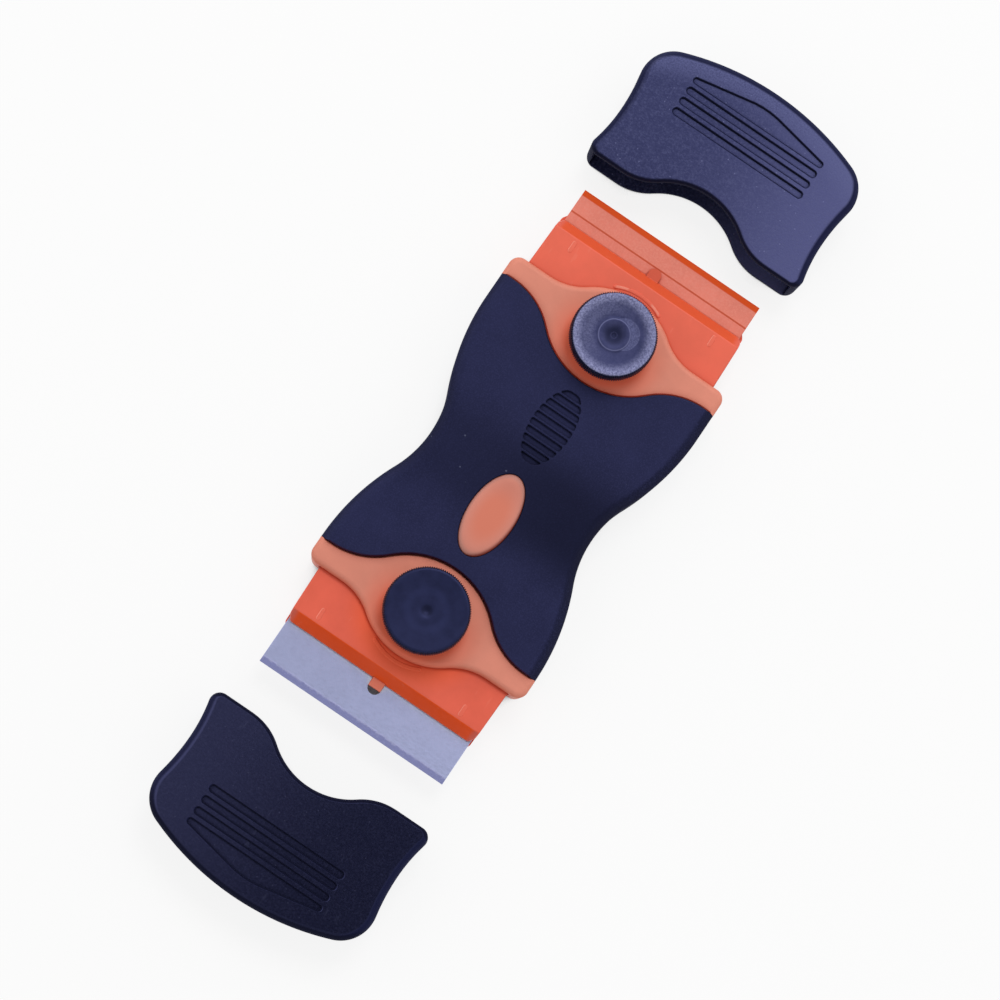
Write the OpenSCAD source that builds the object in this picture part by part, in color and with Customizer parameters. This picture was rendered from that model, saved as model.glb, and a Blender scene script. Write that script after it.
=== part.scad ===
// Two-ended razor blade scraper: an hourglass handle with a clamped blade head at
// each end, a plastic blade at one and a steel blade at the other, and two caps.
// Millimetres. Z is up from the table, Y runs along the handle toward the plastic
// blade, and the origin is the middle of the handle's underside.
// Both caps are drawn pulled off, each past its own end of the handle.

/* [Blades] */
// Width of the steel blade along its cutting edge
blade_width = 39; // [36:0.5:44]
// Depth of both blades from the front edge to the back
blade_depth = 19; // [17:0.25:20]
// Thickness of the steel blade
steel_thickness = 0.3; // [0.2:0.05:0.6]
// Length of the ground bevel of the steel blade
steel_bevel = 1.2; // [0.8:0.1:2]
// Thickness left at the steel cutting edge
steel_edge = 0.06; // [0.04:0.01:0.1]
// Gap between the clamp bolt and the back of the steel blade
steel_setback = 2.2; // [1.2:0.1:3]
// Length of the slot in the steel blade
steel_slot_length = 6.6; // [5:0.1:8]
// How much the plastic blade is narrower than the steel one, on each side
plastic_margin = 0.4; // [0.2:0.1:1]
// Thickness of the plastic blade at its middle
plastic_thickness = 1.5; // [1:0.1:2]
// Length of the slope toward each edge of the plastic blade
plastic_slope = 4.8; // [3:0.1:5]
// Length of the last bevel at each edge of the plastic blade
plastic_bevel = 1.1; // [0.6:0.1:1.6]
// Thickness of the plastic blade where that bevel starts
plastic_bevel_thickness = 0.5; // [0.35:0.05:0.8]
// Thickness left at the plastic edge
plastic_edge = 0.12; // [0.08:0.02:0.3]
// Gap between the clamp bolt and the back of the plastic blade
plastic_setback = 0.3; // [0.2:0.1:1.2]
// Length of the slot in the plastic blade
plastic_slot_length = 9.2; // [7:0.1:10]
// Width of the slot in both blades
slot_width = 2.6; // [2:0.1:3.2]

/* [Handle] */
// Thickness of the handle core and of the caps
handle_thickness = 11; // [10.6:0.1:13]
// Width of the handle at the waist
waist_width = 34.5; // [31:0.5:38]
// Place of the waist along Y
waist_shift = -2.3; // [-4:0.1:0]
// Handle middle to the collar shoulders
collar_reach = 33; // [31:0.5:38]
// Length of the collar at the sides of the handle
collar_length = 4.45; // [3.8:0.05:5.2]
// Thickness of the collar at the sides of the head
collar_side_wall = 2.6; // [2:0.1:4]
// Thickness of the collar above and below the head
collar_wall = 1.55; // [1.3:0.05:1.8]
// How far the middle of the collar bulges past its shoulders
collar_bulge = 5.3; // [4:0.1:6]
// Half the width over which the collar bulges
bulge_run = 15.4; // [13:0.1:17]
// Corner radius of the collar shoulders
collar_corner = 2; // [1:0.1:2.6]
// Rounding of the collar edges
collar_edge = 1.2; // [0.6:0.1:1.4]

/* [Grip] */
// How far the grip stands proud of the core on top
grip_proud = 0.6; // [0.3:0.1:1]
// How far the grip's end is scooped out at the middle
scoop_depth = 8.45; // [6:0.05:10]
// Half the width over which the grip's end is scooped out
scoop_run = 20.5; // [17:0.1:21]
// Rounding of the grip's side edges
grip_edge = 2.2; // [1.2:0.1:2.6]
// Thickness of the grip at its sides
grip_side_skin = 1.8; // [1.2:0.1:2.4]
// Thickness of the grip on top
grip_top_skin = 1.2; // [0.9:0.1:1.4]
// Thickness of the grip below
grip_bottom_skin = 0.8; // [0.5:0.1:0.9]
// Length of the core's oval in the grip
oval_length = 16.8; // [12:0.1:20]
// Width of the core's oval in the grip
oval_width = 8.9; // [6:0.1:12]
// Place of the core's oval along Y
oval_place = -8.7; // [-10:0.1:-6]
// Height of the oval's dome over the grip
oval_dome = 0.45; // [0.2:0.05:0.8]
// Length of the ribbed pad
pad_length = 15.3; // [12:0.1:18]
// Width of the ribbed pad
pad_width = 7.6; // [6:0.1:10]
// Place of the ribbed pad along Y
pad_place = 10.2; // [9:0.1:12]
// Number of grooves in the ribbed pad
pad_grooves = 10; // [6:1:12]
// Width of the lands between the grooves in the pad
pad_land = 0.42; // [0.3:0.02:0.6]
// Depth of each groove in the pad
pad_groove_depth = 0.6; // [0.3:0.05:0.8]

/* [Heads] */
// How far the upper jaw stands out past the collar shoulders
head_exposed = 10.8; // [9:0.1:12]
// How far the lower jaw leads the upper one
lower_jaw_lead = 1.5; // [0.5:0.1:2]
// How much the head is wider than the blade at its front, on each side
head_margin = 0.25; // [0.1:0.05:0.6]
// Draft of the head over its visible length, on each side
head_draft = 0.25; // [0:0.05:0.5]
// Step from the wide part of the head to its tongue, on each side
tongue_step = 2; // [1:0.1:3]
// How far the tongue runs in past the clamp bolt
tongue_tail = 5.9; // [5.5:0.1:6.5]
// Length of the bevel along the front of each jaw
jaw_bevel = 2.15; // [1:0.05:3]
// Drop of that bevel
jaw_bevel_drop = 2; // [1:0.1:2.4]
// Radius of the arc rib on the upper jaw, about the clamp bolt
rib_radius = 10; // [9.6:0.1:10.8]
// Width of the arc rib
rib_width = 0.9; // [0.5:0.1:1.2]
// Height of the arc rib
rib_height = 0.25; // [0.1:0.05:0.3]
// Half the angle that the arc rib spans
rib_angle = 28; // [15:1:40]
// Place of the cap catches across the upper jaw
catch_place = 15.1; // [12:0.1:16]
// Width of each cap catch
catch_width = 1.6; // [1:0.1:2.5]
// Length of each cap catch
catch_length = 3; // [2:0.1:4]
// Height of each cap catch
catch_height = 0.2; // [0.1:0.05:0.25]
// How far the blade peg rises over the blade
peg_rise = 0.6; // [0.3:0.1:0.9]

/* [Clamps] */
// Collar shoulder back to the clamp bolt
bolt_setback = 3.6; // [3:0.1:4]
// Diameter of the clamp bolt
bolt_diameter = 4; // [3:0.1:4.4]
// Width across the flats of the bolt head
bolt_head_flats = 7; // [5.5:0.1:7.4]
// Height of the bolt head
bolt_head_height = 2.8; // [2:0.1:2.9]
// Diameter of the boss round the bolt head
boss_diameter = 10.4; // [9.6:0.1:10.6]
// Height of the boss over the underside
boss_height = 4.3; // [3.8:0.1:4.6]
// Diameter of the raised seat under the washer
seat_diameter = 11.2; // [10.4:0.1:13]
// Height of the raised seat
seat_height = 0.6; // [0.3:0.1:1]
// Outer diameter of the washer
washer_diameter = 10; // [9:0.1:11]
// Thickness of the washer
washer_thickness = 0.8; // [0.5:0.1:1.2]
// Diameter of the knob over its teeth
knob_diameter = 15.6; // [14:0.1:17]
// Height of the knob
knob_height = 5; // [4.6:0.1:6.5]
// Number of teeth round the knob
knob_teeth = 120; // [60:2:120]
// Depth of the knob's teeth
tooth_depth = 0.28; // [0.15:0.01:0.35]
// Depth of the dished top of the knob
knob_dish = 0.7; // [0.4:0.1:0.9]
// Radius of the raised middle of the knob
knob_hub_radius = 2.9; // [2.5:0.1:3.4]
// Radius of the dimple in that middle
dimple_radius = 1.9; // [1.2:0.1:2.2]
// Outer diameter of the threaded insert in the knob
insert_diameter = 6.4; // [5.6:0.1:7.5]
// Height of the threaded insert
insert_height = 3.2; // [2.4:0.1:3.3]

/* [Caps] */
// Length of a cap from its mouth to its crown
cap_length = 28.2; // [26.5:0.1:32]
// Width of a cap at its waist
cap_waist = 43.8; // [43.4:0.1:45]
// Mouth to the waist of a cap
cap_waist_reach = 9.6; // [8:0.1:11]
// Mouth to the widest place of a cap
cap_shoulder_reach = 18.6; // [17.5:0.1:20]
// Radius of the crown of a cap
crown_radius = 52; // [45:0.5:70]
// Wall thickness of the caps
cap_wall = 1.3; // [1:0.05:1.4]
// Rounding of the cap edges
cap_edge = 1.6; // [0.8:0.1:1.8]
// Rounding of the edges at the cap mouth
lip_edge = 0.4; // [0.2:0.05:0.6]
// Half the length of the finger grooves on a cap
finger_run = 13.9; // [10:0.1:15]
// Width of the finger grooves
finger_width = 1.25; // [0.8:0.05:1.6]
// Depth of the finger grooves
finger_depth = 0.45; // [0.2:0.05:0.6]
// Mouth to the first finger groove
finger_start = 14.7; // [13:0.1:16]
// Spacing of the finger grooves
finger_pitch = 2.3; // [1.9:0.1:2.6]
// Number of straight finger grooves
finger_count = 3; // [2:1:3]
// How far the last groove rises to its peak
finger_peak = 2.4; // [1:0.1:3]
// How far the cap of the plastic blade is pulled off
plastic_cap_pulled = 22.8; // [20:0.1:40]
// How far the cap of the steel blade is pulled off
steel_cap_pulled = 27.5; // [24:0.1:44]

/* [Clearances] */
// Gap beside the heads in the collars
slide_gap = 0.2; // [0.15:0.05:0.4]
// Gap above and below the heads in the collars
lift_gap = 0.15; // [0.1:0.05:0.3]
// Gap at the inner end of the heads
end_gap = 0.3; // [0.2:0.1:1]
// Gap between a seated cap and its collar
cap_gap = 0.3; // [0.2:0.1:0.8]
// Gap round the clamp bolt in the core and the jaws
bolt_gap = 0.3; // [0.15:0.05:0.35]
// Gap round the bolt in the threaded insert
thread_gap = 0.05; // [0.03:0.01:0.1]
// Gap above and below the washer
seat_gap = 0.05; // [0.02:0.01:0.1]
// Gap round the blade peg and behind the blade
peg_gap = 0.15; // [0.1:0.05:0.3]

/* [Hidden] */
overrun = 1;
half_turn = 180;
quarter = 90;
round_steps = 3;
arc_steps = 8;
edge_sides = 64;
joint_overlap = 0.5;
side_straight = 0.4;
inner_edge = 0.4;
rim_slope = 0.5;
knob_lead = 0.8;
hub_drop = 0.3;
dimple_depth = 0.9;
oval_shoulder = 2.2;
finger_shoulder = 0.8;
bulge_blend_share = 0.44;
scoop_blend_share = 0.47;
waist_blend_share = 0.33;
thread_share = 0.9;

head_front_width = blade_width + 2*head_margin;
head_width = head_front_width + 2*head_draft;
pocket_width = head_width + 2*slide_gap;
handle_width = pocket_width + 2*collar_side_wall;
half_width = handle_width/2;
grip_reach = collar_reach - collar_length;
grip_top = handle_thickness + grip_proud;
web_bottom = grip_bottom_skin;
web_top = grip_top - grip_top_skin;
web_reach = grip_reach + collar_length/2;
pocket_bottom = collar_wall;
pocket_top = handle_thickness - collar_wall;
head_bottom = pocket_bottom + lift_gap;
head_top = pocket_top - lift_gap;
head_middle = (head_bottom + head_top)/2;
bolt_place = collar_reach - bolt_setback;
head_step = grip_reach + inner_edge + joint_overlap;
tongue_end = bolt_place - tongue_tail;
tongue_width = head_width - 2*tongue_step;
upper_reach = collar_reach + head_exposed;
lower_reach = upper_reach + lower_jaw_lead;
seat_top = handle_thickness + seat_height;
washer_bottom = seat_top + seat_gap;
washer_top = washer_bottom + washer_thickness;
knob_bottom = washer_top + seat_gap;
knob_top = knob_bottom + knob_height;
knob_radius = knob_diameter/2;
insert_top = knob_bottom + insert_height;
bolt_top = knob_bottom + insert_height*thread_share;
bolt_radius = bolt_diameter/2;
bolt_clear_radius = bolt_radius + bolt_gap;
bolt_head_radius = bolt_head_flats/2/cos(half_turn/6);
head_seat = bolt_head_height + seat_gap;
cap_seat = collar_reach + cap_gap;
pad_pitch = pad_length/pad_grooves;
plastic_width = blade_width - 2*plastic_margin;

// Sum of the two radii of an S-curve that shifts by depth over run.
function s_sum(run, depth) = (run*run + depth*depth)/(2*depth);

// Each outline is a list of [point, inset], where the inset is how far, and which
// way, that point draws in at the top and bottom faces of a rounded slab.
function arc(centre, radius, from, to, edge, side, closed) =
    [for (i = [0:arc_steps - (closed ? 0 : 1)])
        let (a = from + (to - from)*i/arc_steps, d = [cos(a), sin(a)])
        [centre + radius*d, edge*side*d]];
function backward(list) = [for (i = [len(list) - 1:-1:0]) list[i]];
function flip_y(list) = [for (e = backward(list)) [[e[0].x, -e[0].y], [e[1].x, -e[1].y]]];
function flip_x(list) = [for (e = backward(list)) [[-e[0].x, e[0].y], [-e[1].x, e[1].y]]];
function inner(list) = [for (i = [1:len(list) - 2]) list[i]];
function whole(half) = concat(half, flip_x(inner(half)));
function drawn_in(list, amount) = [for (e = list) e[0] - amount*e[1]];

// Scooped end of the grip, from its right side to the middle.
function scoop(edge) =
    let (total = s_sum(scoop_run, scoop_depth),
         tip = total*scoop_blend_share,
         low = total - tip,
         a = asin(scoop_run/total))
    concat(
        arc([scoop_run, grip_reach - tip], tip, quarter, quarter + a, edge, 1, false),
        arc([0, grip_reach - scoop_depth + low], low, 3*quarter + a, 3*quarter, edge, -1, true));

// Right side of the grip, from its lower end to its upper end.
function grip_side(edge) =
    let (depth = (handle_width - waist_width)/2,
         run = grip_reach - abs(waist_shift) - side_straight,
         total = s_sum(run, depth),
         waist = total*waist_blend_share,
         hip = total - waist,
         a = asin(run/total))
    concat(
        arc([half_width - hip, waist_shift - run], hip, 0, a, edge, 1, false),
        arc([waist_width/2 + waist, waist_shift], waist, half_turn + a, half_turn - a,
            edge, -1, false),
        arc([half_width - hip, waist_shift + run], hip, -a, 0, edge, 1, true));

function grip_half() =
    concat(
        flip_y(scoop(inner_edge)),
        [[[half_width, -grip_reach], [grip_edge, -inner_edge]]],
        grip_side(grip_edge),
        [[[half_width, grip_reach], [grip_edge, inner_edge]]],
        scoop(inner_edge));

// Bulging end of a collar, from its shoulder to the middle; the mouth of a cap
// follows it with a negative edge.
function bulge(base, edge) =
    let (total = s_sum(bulge_run, collar_bulge),
         foot = total*bulge_blend_share,
         crest = total - foot,
         a = asin(bulge_run/total))
    concat(
        arc([bulge_run, base + foot], foot, 3*quarter, 3*quarter - a, edge, -1, false),
        arc([0, base + collar_bulge - crest], crest, quarter - a, quarter, edge, 1, true));

function collar_half() =
    concat(
        backward(scoop(-inner_edge)),
        [[[half_width, grip_reach], [collar_edge, -inner_edge]]],
        arc([half_width - collar_corner, collar_reach - collar_corner], collar_corner,
            0, quarter, collar_edge, 1, true),
        bulge(collar_reach, collar_edge));

// Side and crown of a cap, from its mouth corner to the middle of the crown.
function cap_side(edge) =
    let (depth = half_width - cap_waist/2,
         low_sum = s_sum(cap_waist_reach - collar_corner, depth),
         high_sum = s_sum(cap_shoulder_reach - cap_waist_reach, depth),
         rise = cap_shoulder_reach - cap_length + crown_radius,
         corner = (crown_radius*crown_radius - half_width*half_width - rise*rise)
             /(2*(crown_radius - half_width)),
         low = low_sum - collar_corner,
         high = high_sum - corner,
         a_low = asin((cap_waist_reach - collar_corner)/low_sum),
         a_high = asin((cap_shoulder_reach - cap_waist_reach)/high_sum),
         a_crown = atan2(rise, half_width - corner))
    concat(
        arc([half_width - collar_corner, collar_corner], collar_corner, 0, a_low,
            edge, 1, false),
        arc([cap_waist/2 + low, cap_waist_reach], low, half_turn + a_low, half_turn,
            edge, -1, false),
        arc([cap_waist/2 + high, cap_waist_reach], high, half_turn, half_turn - a_high,
            edge, -1, false),
        arc([half_width - corner, cap_shoulder_reach], corner, -a_high, a_crown,
            edge, 1, false),
        arc([0, cap_length - crown_radius], crown_radius, a_crown, quarter, edge, 1, true));

function cap_half() =
    concat(
        backward(bulge(0, -lip_edge)),
        [for (i = [0:arc_steps - 1])
            let (a = 3*quarter + quarter*i/arc_steps,
                 d = [cos(a), sin(a)],
                 edge = lip_edge + (cap_edge - lip_edge)*i/arc_steps)
            [[half_width - collar_corner, collar_corner] + collar_corner*d, edge*d]],
        cap_side(cap_edge));

function ellipse(length, width, edge) =
    [for (i = [0:4*arc_steps - 1])
        let (a = quarter*i/arc_steps,
             n = [cos(a)*length, sin(a)*width])
        [[cos(a)*width/2, sin(a)*length/2], edge*n/norm(n)]];

// Straight groove outline with round ends, along X.
function stadium(run, width) =
    concat(
        drawn_in(arc([run - width/2, 0], width/2, -quarter, quarter, 0, 1, true), 0),
        drawn_in(arc([width/2 - run, 0], width/2, quarter, 3*quarter, 0, 1, true), 0));

// Rounded slab: layers of one outline, drawn in along quarter ellipses at the edges.
// Its faces fan out from a middle at the given Y, which sees the whole outline.
module slab(outline, middle, bottom, top, bottom_edge, top_edge) {
    count = len(outline);
    low = [for (i = [0:round_steps]) let (a = quarter*i/round_steps)
        [bottom + bottom_edge*(1 - cos(a)), 1 - sin(a)]];
    high = [for (i = [round_steps:-1:0]) let (a = quarter*i/round_steps)
        [top - top_edge*(1 - cos(a)), 1 - sin(a)]];
    layers = concat(bottom_edge > 0 ? low : [[bottom, 0]], top_edge > 0 ? high : [[top, 0]]);
    points = [for (l = layers) for (e = outline)
        [e[0].x - l[1]*e[1].x, e[0].y - l[1]*e[1].y, l[0]]];
    sides = [for (k = [0:len(layers) - 2]) for (i = [0:count - 1])
        let (a = k*count + i, b = k*count + (i + 1) % count)
        each [[a, a + count, b + count], [a, b + count, b]]];
    total = len(points);
    ends = [for (i = [0:count - 1])
        let (j = (i + 1) % count, roof = total - count)
        each [[total, i, j], [total + 1, roof + j, roof + i]]];
    polyhedron(concat(points, [[0, middle, bottom], [0, middle, top]]), concat(ends, sides));
}

// Turns what is drawn for the plastic end to the steel end.
module steel_end() {
    rotate([0, 0, half_turn]) children();
}

module both_ends() {
    children();
    steel_end() children();
}

module web() {
    side = drawn_in(grip_side(1), grip_side_skin);
    last = half_width - grip_side_skin;
    right = concat([[last, -web_reach]], side, [[last, web_reach]]);
    left = [for (p = backward(right)) [-p.x, p.y]];
    translate([0, 0, web_bottom])
        linear_extrude(height = web_top - web_bottom)
            polygon(concat(right, left));
}

module collar_pocket() {
    inside = tongue_end - end_gap;
    step = head_step - end_gap;
    narrow = tongue_width + 2*slide_gap;
    reach = collar_bulge + collar_reach + overrun;
    translate([-narrow/2, inside, pocket_bottom])
        cube([narrow, reach - inside, pocket_top - pocket_bottom]);
    translate([-pocket_width/2, step, pocket_bottom])
        cube([pocket_width, reach - step, pocket_top - pocket_bottom]);
}

module bolt_boss() {
    translate([0, bolt_place, pocket_bottom - joint_overlap])
        cylinder(h = boss_height - pocket_bottom + joint_overlap, d = boss_diameter,
            $fn = edge_sides);
    translate([0, bolt_place, handle_thickness - joint_overlap])
        cylinder(h = seat_height + joint_overlap, d = seat_diameter, $fn = edge_sides);
}

module bolt_way() {
    translate([0, bolt_place, -overrun]) {
        cylinder(h = seat_top + 2*overrun, r = bolt_clear_radius, $fn = edge_sides);
        rotate([0, 0, half_turn/6])
            cylinder(h = head_seat + overrun, r = bolt_head_radius + thread_gap, $fn = 6);
    }
}

module handle_core() {
    color("#dc8870")
        difference() {
            union() {
                difference() {
                    union() {
                        both_ends()
                            slab(whole(collar_half()), bolt_place, 0, handle_thickness,
                                collar_edge, collar_edge);
                        web();
                        translate([0, oval_place, 0])
                            slab(ellipse(oval_length, oval_width, oval_shoulder), 0,
                                web_top - joint_overlap, grip_top + oval_dome, 0, 2*oval_dome);
                    }
                    both_ends() collar_pocket();
                }
                both_ends() bolt_boss();
            }
            both_ends() bolt_way();
        }
}

// One groove of the ribbed pad, a band across its oval.
module pad_groove(index) {
    start = index*pad_pitch - (pad_length - pad_land)/2;
    right = [for (i = [0:arc_steps])
        let (along = start + (pad_pitch - pad_land)*i/arc_steps,
             share = 2*along/pad_length)
        [pad_width/2*sqrt(1 - share*share), along]];
    translate([0, pad_place, grip_top - pad_groove_depth])
        linear_extrude(height = pad_groove_depth + overrun)
            polygon(concat(right, [for (p = backward(right)) [-p.x, p.y]]));
}

module grip_sleeve() {
    color("#26294a")
        difference() {
            slab(whole(grip_half()), waist_shift, 0, grip_top, grip_edge, grip_edge);
            web();
            translate([0, oval_place, web_top - overrun])
                linear_extrude(height = grip_top_skin + 2*overrun)
                    polygon(drawn_in(ellipse(oval_length, oval_width, 0), 0));
            for (i = [0:pad_grooves - 1]) pad_groove(i);
        }
}

// Plan of a jaw: a narrow tongue in the collar and a drafted front.
module jaw_plan(reach) {
    right = [
        [tongue_width/2, tongue_end],
        [tongue_width/2, head_step],
        [head_width/2, head_step],
        [head_width/2, collar_reach],
        [head_width/2 - head_draft, reach]
    ];
    polygon(concat(right, [for (p = backward(right)) [-p.x, p.y]]));
}

// Solid with the given outline in Y and Z, and the given width along X.
module side_profile(points, width) {
    rotate([quarter, 0, quarter])
        translate([0, 0, -width/2])
            linear_extrude(height = width)
                polygon(points);
}

function blade_back(setback) = bolt_place + bolt_radius + setback;
function slot_middle(setback) = blade_back(setback) + blade_depth/2;

module upper_jaw(setback, thickness, slot) {
    rest = head_middle + thickness/2;
    start = slot_middle(setback) - slot/2;
    difference() {
        union() {
            intersection() {
                translate([0, 0, head_middle])
                    linear_extrude(height = head_top - head_middle)
                        jaw_plan(upper_reach);
                side_profile([
                    [tongue_end - overrun, head_middle - overrun],
                    [blade_back(setback) - peg_gap, head_middle - overrun],
                    [blade_back(setback) - peg_gap, rest],
                    [upper_reach + overrun, rest],
                    [upper_reach + overrun, head_top - jaw_bevel_drop],
                    [upper_reach, head_top - jaw_bevel_drop],
                    [upper_reach - jaw_bevel, head_top],
                    [upper_reach - jaw_bevel, head_top + overrun],
                    [tongue_end - overrun, head_top + overrun]
                ], head_width + 2*overrun);
            }
            translate([0, bolt_place, head_top - joint_overlap])
                rotate([0, 0, quarter - rib_angle])
                    rotate_extrude(angle = 2*rib_angle, $fn = edge_sides)
                        translate([rib_radius - rib_width/2, 0])
                            square([rib_width, rib_height + joint_overlap]);
            for (side = [-1, 1])
                translate([side*catch_place - catch_width/2,
                        upper_reach - jaw_bevel - catch_length, head_top - joint_overlap])
                    cube([catch_width, catch_length, catch_height + joint_overlap]);
        }
        translate([0, bolt_place, head_middle - overrun])
            linear_extrude(height = head_top - head_middle + 2*overrun)
                rotate([0, 0, -quarter])
                    translate([tongue_tail, 0])
                        polygon(stadium(tongue_tail + bolt_clear_radius, 2*bolt_clear_radius));
        translate([-slot_width/2, start, head_middle - overrun])
            cube([slot_width, upper_reach - start + overrun,
                rest + peg_rise + peg_gap - head_middle + overrun]);
    }
}

module lower_jaw(setback, thickness, slot) {
    rest = head_middle - thickness/2;
    peg_width = slot_width - 2*peg_gap;
    boss_clear = boss_diameter/2 + bolt_gap;
    difference() {
        union() {
            intersection() {
                translate([0, 0, head_bottom])
                    linear_extrude(height = head_middle - head_bottom)
                        jaw_plan(lower_reach);
                side_profile([
                    [tongue_end - overrun, head_bottom - overrun],
                    [lower_reach - jaw_bevel, head_bottom - overrun],
                    [lower_reach - jaw_bevel, head_bottom],
                    [lower_reach, head_bottom + jaw_bevel_drop],
                    [lower_reach + overrun, head_bottom + jaw_bevel_drop],
                    [lower_reach + overrun, rest],
                    [blade_back(setback) - peg_gap, rest],
                    [blade_back(setback) - peg_gap, head_middle + overrun],
                    [tongue_end - overrun, head_middle + overrun]
                ], head_width + 2*overrun);
            }
            intersection() {
                translate([0, slot_middle(setback), rest - joint_overlap])
                    linear_extrude(height = thickness + peg_rise + joint_overlap)
                        rotate([0, 0, quarter])
                            polygon(stadium(slot/2 - peg_gap, peg_width));
                translate([-peg_width, 0, 0])
                    cube([2*peg_width, lower_reach, handle_thickness]);
            }
        }
        translate([0, bolt_place, head_bottom - overrun])
            linear_extrude(height = head_middle - head_bottom + 2*overrun)
                rotate([0, 0, -quarter])
                    translate([tongue_tail, 0])
                        polygon(stadium(tongue_tail + boss_clear, 2*boss_clear));
    }
}

// Flat slotted blade of the given outline in Y and Z.
module blade(points, width, setback, thickness, slot) {
    difference() {
        side_profile(points, width);
        translate([0, slot_middle(setback), head_middle - thickness])
            linear_extrude(height = 2*thickness)
                rotate([0, 0, quarter])
                    polygon(stadium(slot/2, slot_width));
    }
}

module clamp_bolt() {
    color("#b9bcc2")
        translate([0, bolt_place, 0]) {
            translate([0, 0, seat_gap])
                rotate([0, 0, half_turn/6])
                    cylinder(h = bolt_head_height, r = bolt_head_radius, $fn = 6);
            translate([0, 0, bolt_head_height - joint_overlap])
                cylinder(h = bolt_top - bolt_head_height + joint_overlap, r = bolt_radius,
                    $fn = edge_sides);
        }
}

module washer() {
    color("#c4c7cc")
        translate([0, bolt_place, washer_bottom])
            difference() {
                cylinder(h = washer_thickness, d = washer_diameter, $fn = edge_sides);
                translate([0, 0, -overrun])
                    cylinder(h = washer_thickness + 2*overrun, r = bolt_clear_radius,
                        $fn = edge_sides);
            }
}

module knob() {
    rim = knob_top - knob_bottom;
    floor_height = rim - knob_dish;
    hub_top = rim - hub_drop;
    teeth = [for (i = [0:2*knob_teeth - 1])
        let (a = half_turn*i/knob_teeth, r = knob_radius - (i % 2)*tooth_depth)
        r*[cos(a), sin(a)]];
    color("#262a50")
        translate([0, bolt_place, knob_bottom])
            difference() {
                intersection() {
                    linear_extrude(height = rim) polygon(teeth);
                    rotate_extrude($fn = edge_sides)
                        polygon([
                            [0, 0],
                            [knob_radius - knob_lead, 0],
                            [knob_radius + rim_slope, knob_lead + rim_slope],
                            [knob_radius + rim_slope, rim - knob_lead - rim_slope],
                            [knob_radius - knob_lead, rim],
                            [knob_radius - knob_lead - 2*rim_slope, rim],
                            [knob_radius - knob_lead - 4*rim_slope, floor_height],
                            [knob_hub_radius + rim_slope, floor_height],
                            [knob_hub_radius, hub_top],
                            [dimple_radius, hub_top],
                            [0, hub_top - dimple_depth]
                        ]);
                }
                translate([0, 0, -overrun])
                    cylinder(h = insert_height + overrun, d = insert_diameter, $fn = edge_sides);
            }
}

module knob_insert() {
    color("#c9a24e")
        translate([0, bolt_place, knob_bottom])
            difference() {
                cylinder(h = insert_height, d = insert_diameter, $fn = edge_sides);
                translate([0, 0, -overrun])
                    cylinder(h = insert_height + 2*overrun, r = bolt_radius + thread_gap,
                        $fn = edge_sides);
            }
}

// Grooves for the fingers: straight ones, then one whose far side rises to a peak.
module finger_grooves() {
    last = finger_start + finger_count*finger_pitch - finger_width/2;
    for (i = [0:finger_count - 1])
        translate([0, finger_start + i*finger_pitch])
            linear_extrude(height = finger_depth + overrun)
                polygon(stadium(finger_run, finger_width));
    linear_extrude(height = finger_depth + overrun)
        polygon([
            [-finger_run, last],
            [finger_run, last],
            [finger_run, last + finger_shoulder],
            [0, last + finger_shoulder + finger_peak],
            [-finger_run, last + finger_shoulder]
        ]);
}

module cap(pulled) {
    wall_side = drawn_in(cap_side(1), cap_wall);
    right = concat([[half_width - cap_wall, -overrun]], wall_side);
    left = [for (p = backward(inner(concat(right, [right[0]])))) [-p.x, p.y]];
    color("#2a2d52")
        translate([0, cap_seat + pulled, 0])
            difference() {
                slab(whole(cap_half()), cap_length/2, 0, handle_thickness, cap_edge, cap_edge);
                translate([0, 0, cap_wall])
                    linear_extrude(height = handle_thickness - 2*cap_wall)
                        polygon(concat(right, left, [[cap_wall - half_width, -overrun]]));
                translate([0, 0, handle_thickness - finger_depth]) finger_grooves();
                mirror([0, 0, 1]) translate([0, 0, -finger_depth]) finger_grooves();
            }
}

module plastic_blade() {
    back = blade_back(plastic_setback);
    tip = back + blade_depth;
    full = plastic_thickness/2;
    thin = plastic_bevel_thickness/2;
    edge = plastic_edge/2;
    upper = [
        [back, edge],
        [back + plastic_bevel, thin],
        [back + plastic_slope, full],
        [tip - plastic_slope, full],
        [tip - plastic_bevel, thin],
        [tip, edge]
    ];
    outline = concat(
        [for (p = upper) [p.x, head_middle - p.y]],
        [for (p = backward(upper)) [p.x, head_middle + p.y]]);
    color("#e27f6f")
        blade(outline, plastic_width, plastic_setback, plastic_thickness, plastic_slot_length);
}

module steel_blade() {
    back = blade_back(steel_setback);
    tip = back + blade_depth;
    full = steel_thickness/2;
    edge = steel_edge/2;
    color("#9a9fc6")
        steel_end()
            blade([
                [back, head_middle - full],
                [tip - steel_bevel, head_middle - full],
                [tip, head_middle - edge],
                [tip, head_middle + edge],
                [tip - steel_bevel, head_middle + full],
                [back, head_middle + full]
            ], blade_width, steel_setback, steel_thickness, steel_slot_length);
}

module plastic_upper_jaw() {
    color("#e8694f") upper_jaw(plastic_setback, plastic_thickness, plastic_slot_length);
}

module plastic_lower_jaw() {
    color("#e8694f") lower_jaw(plastic_setback, plastic_thickness, plastic_slot_length);
}

module plastic_clamp_bolt() {
    clamp_bolt();
}

module plastic_washer() {
    washer();
}

module plastic_knob() {
    knob();
}

module plastic_knob_insert() {
    knob_insert();
}

module plastic_cap() {
    cap(plastic_cap_pulled);
}

module steel_upper_jaw() {
    color("#e8694f") steel_end() upper_jaw(steel_setback, steel_thickness, steel_slot_length);
}

module steel_lower_jaw() {
    color("#e8694f") steel_end() lower_jaw(steel_setback, steel_thickness, steel_slot_length);
}

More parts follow.
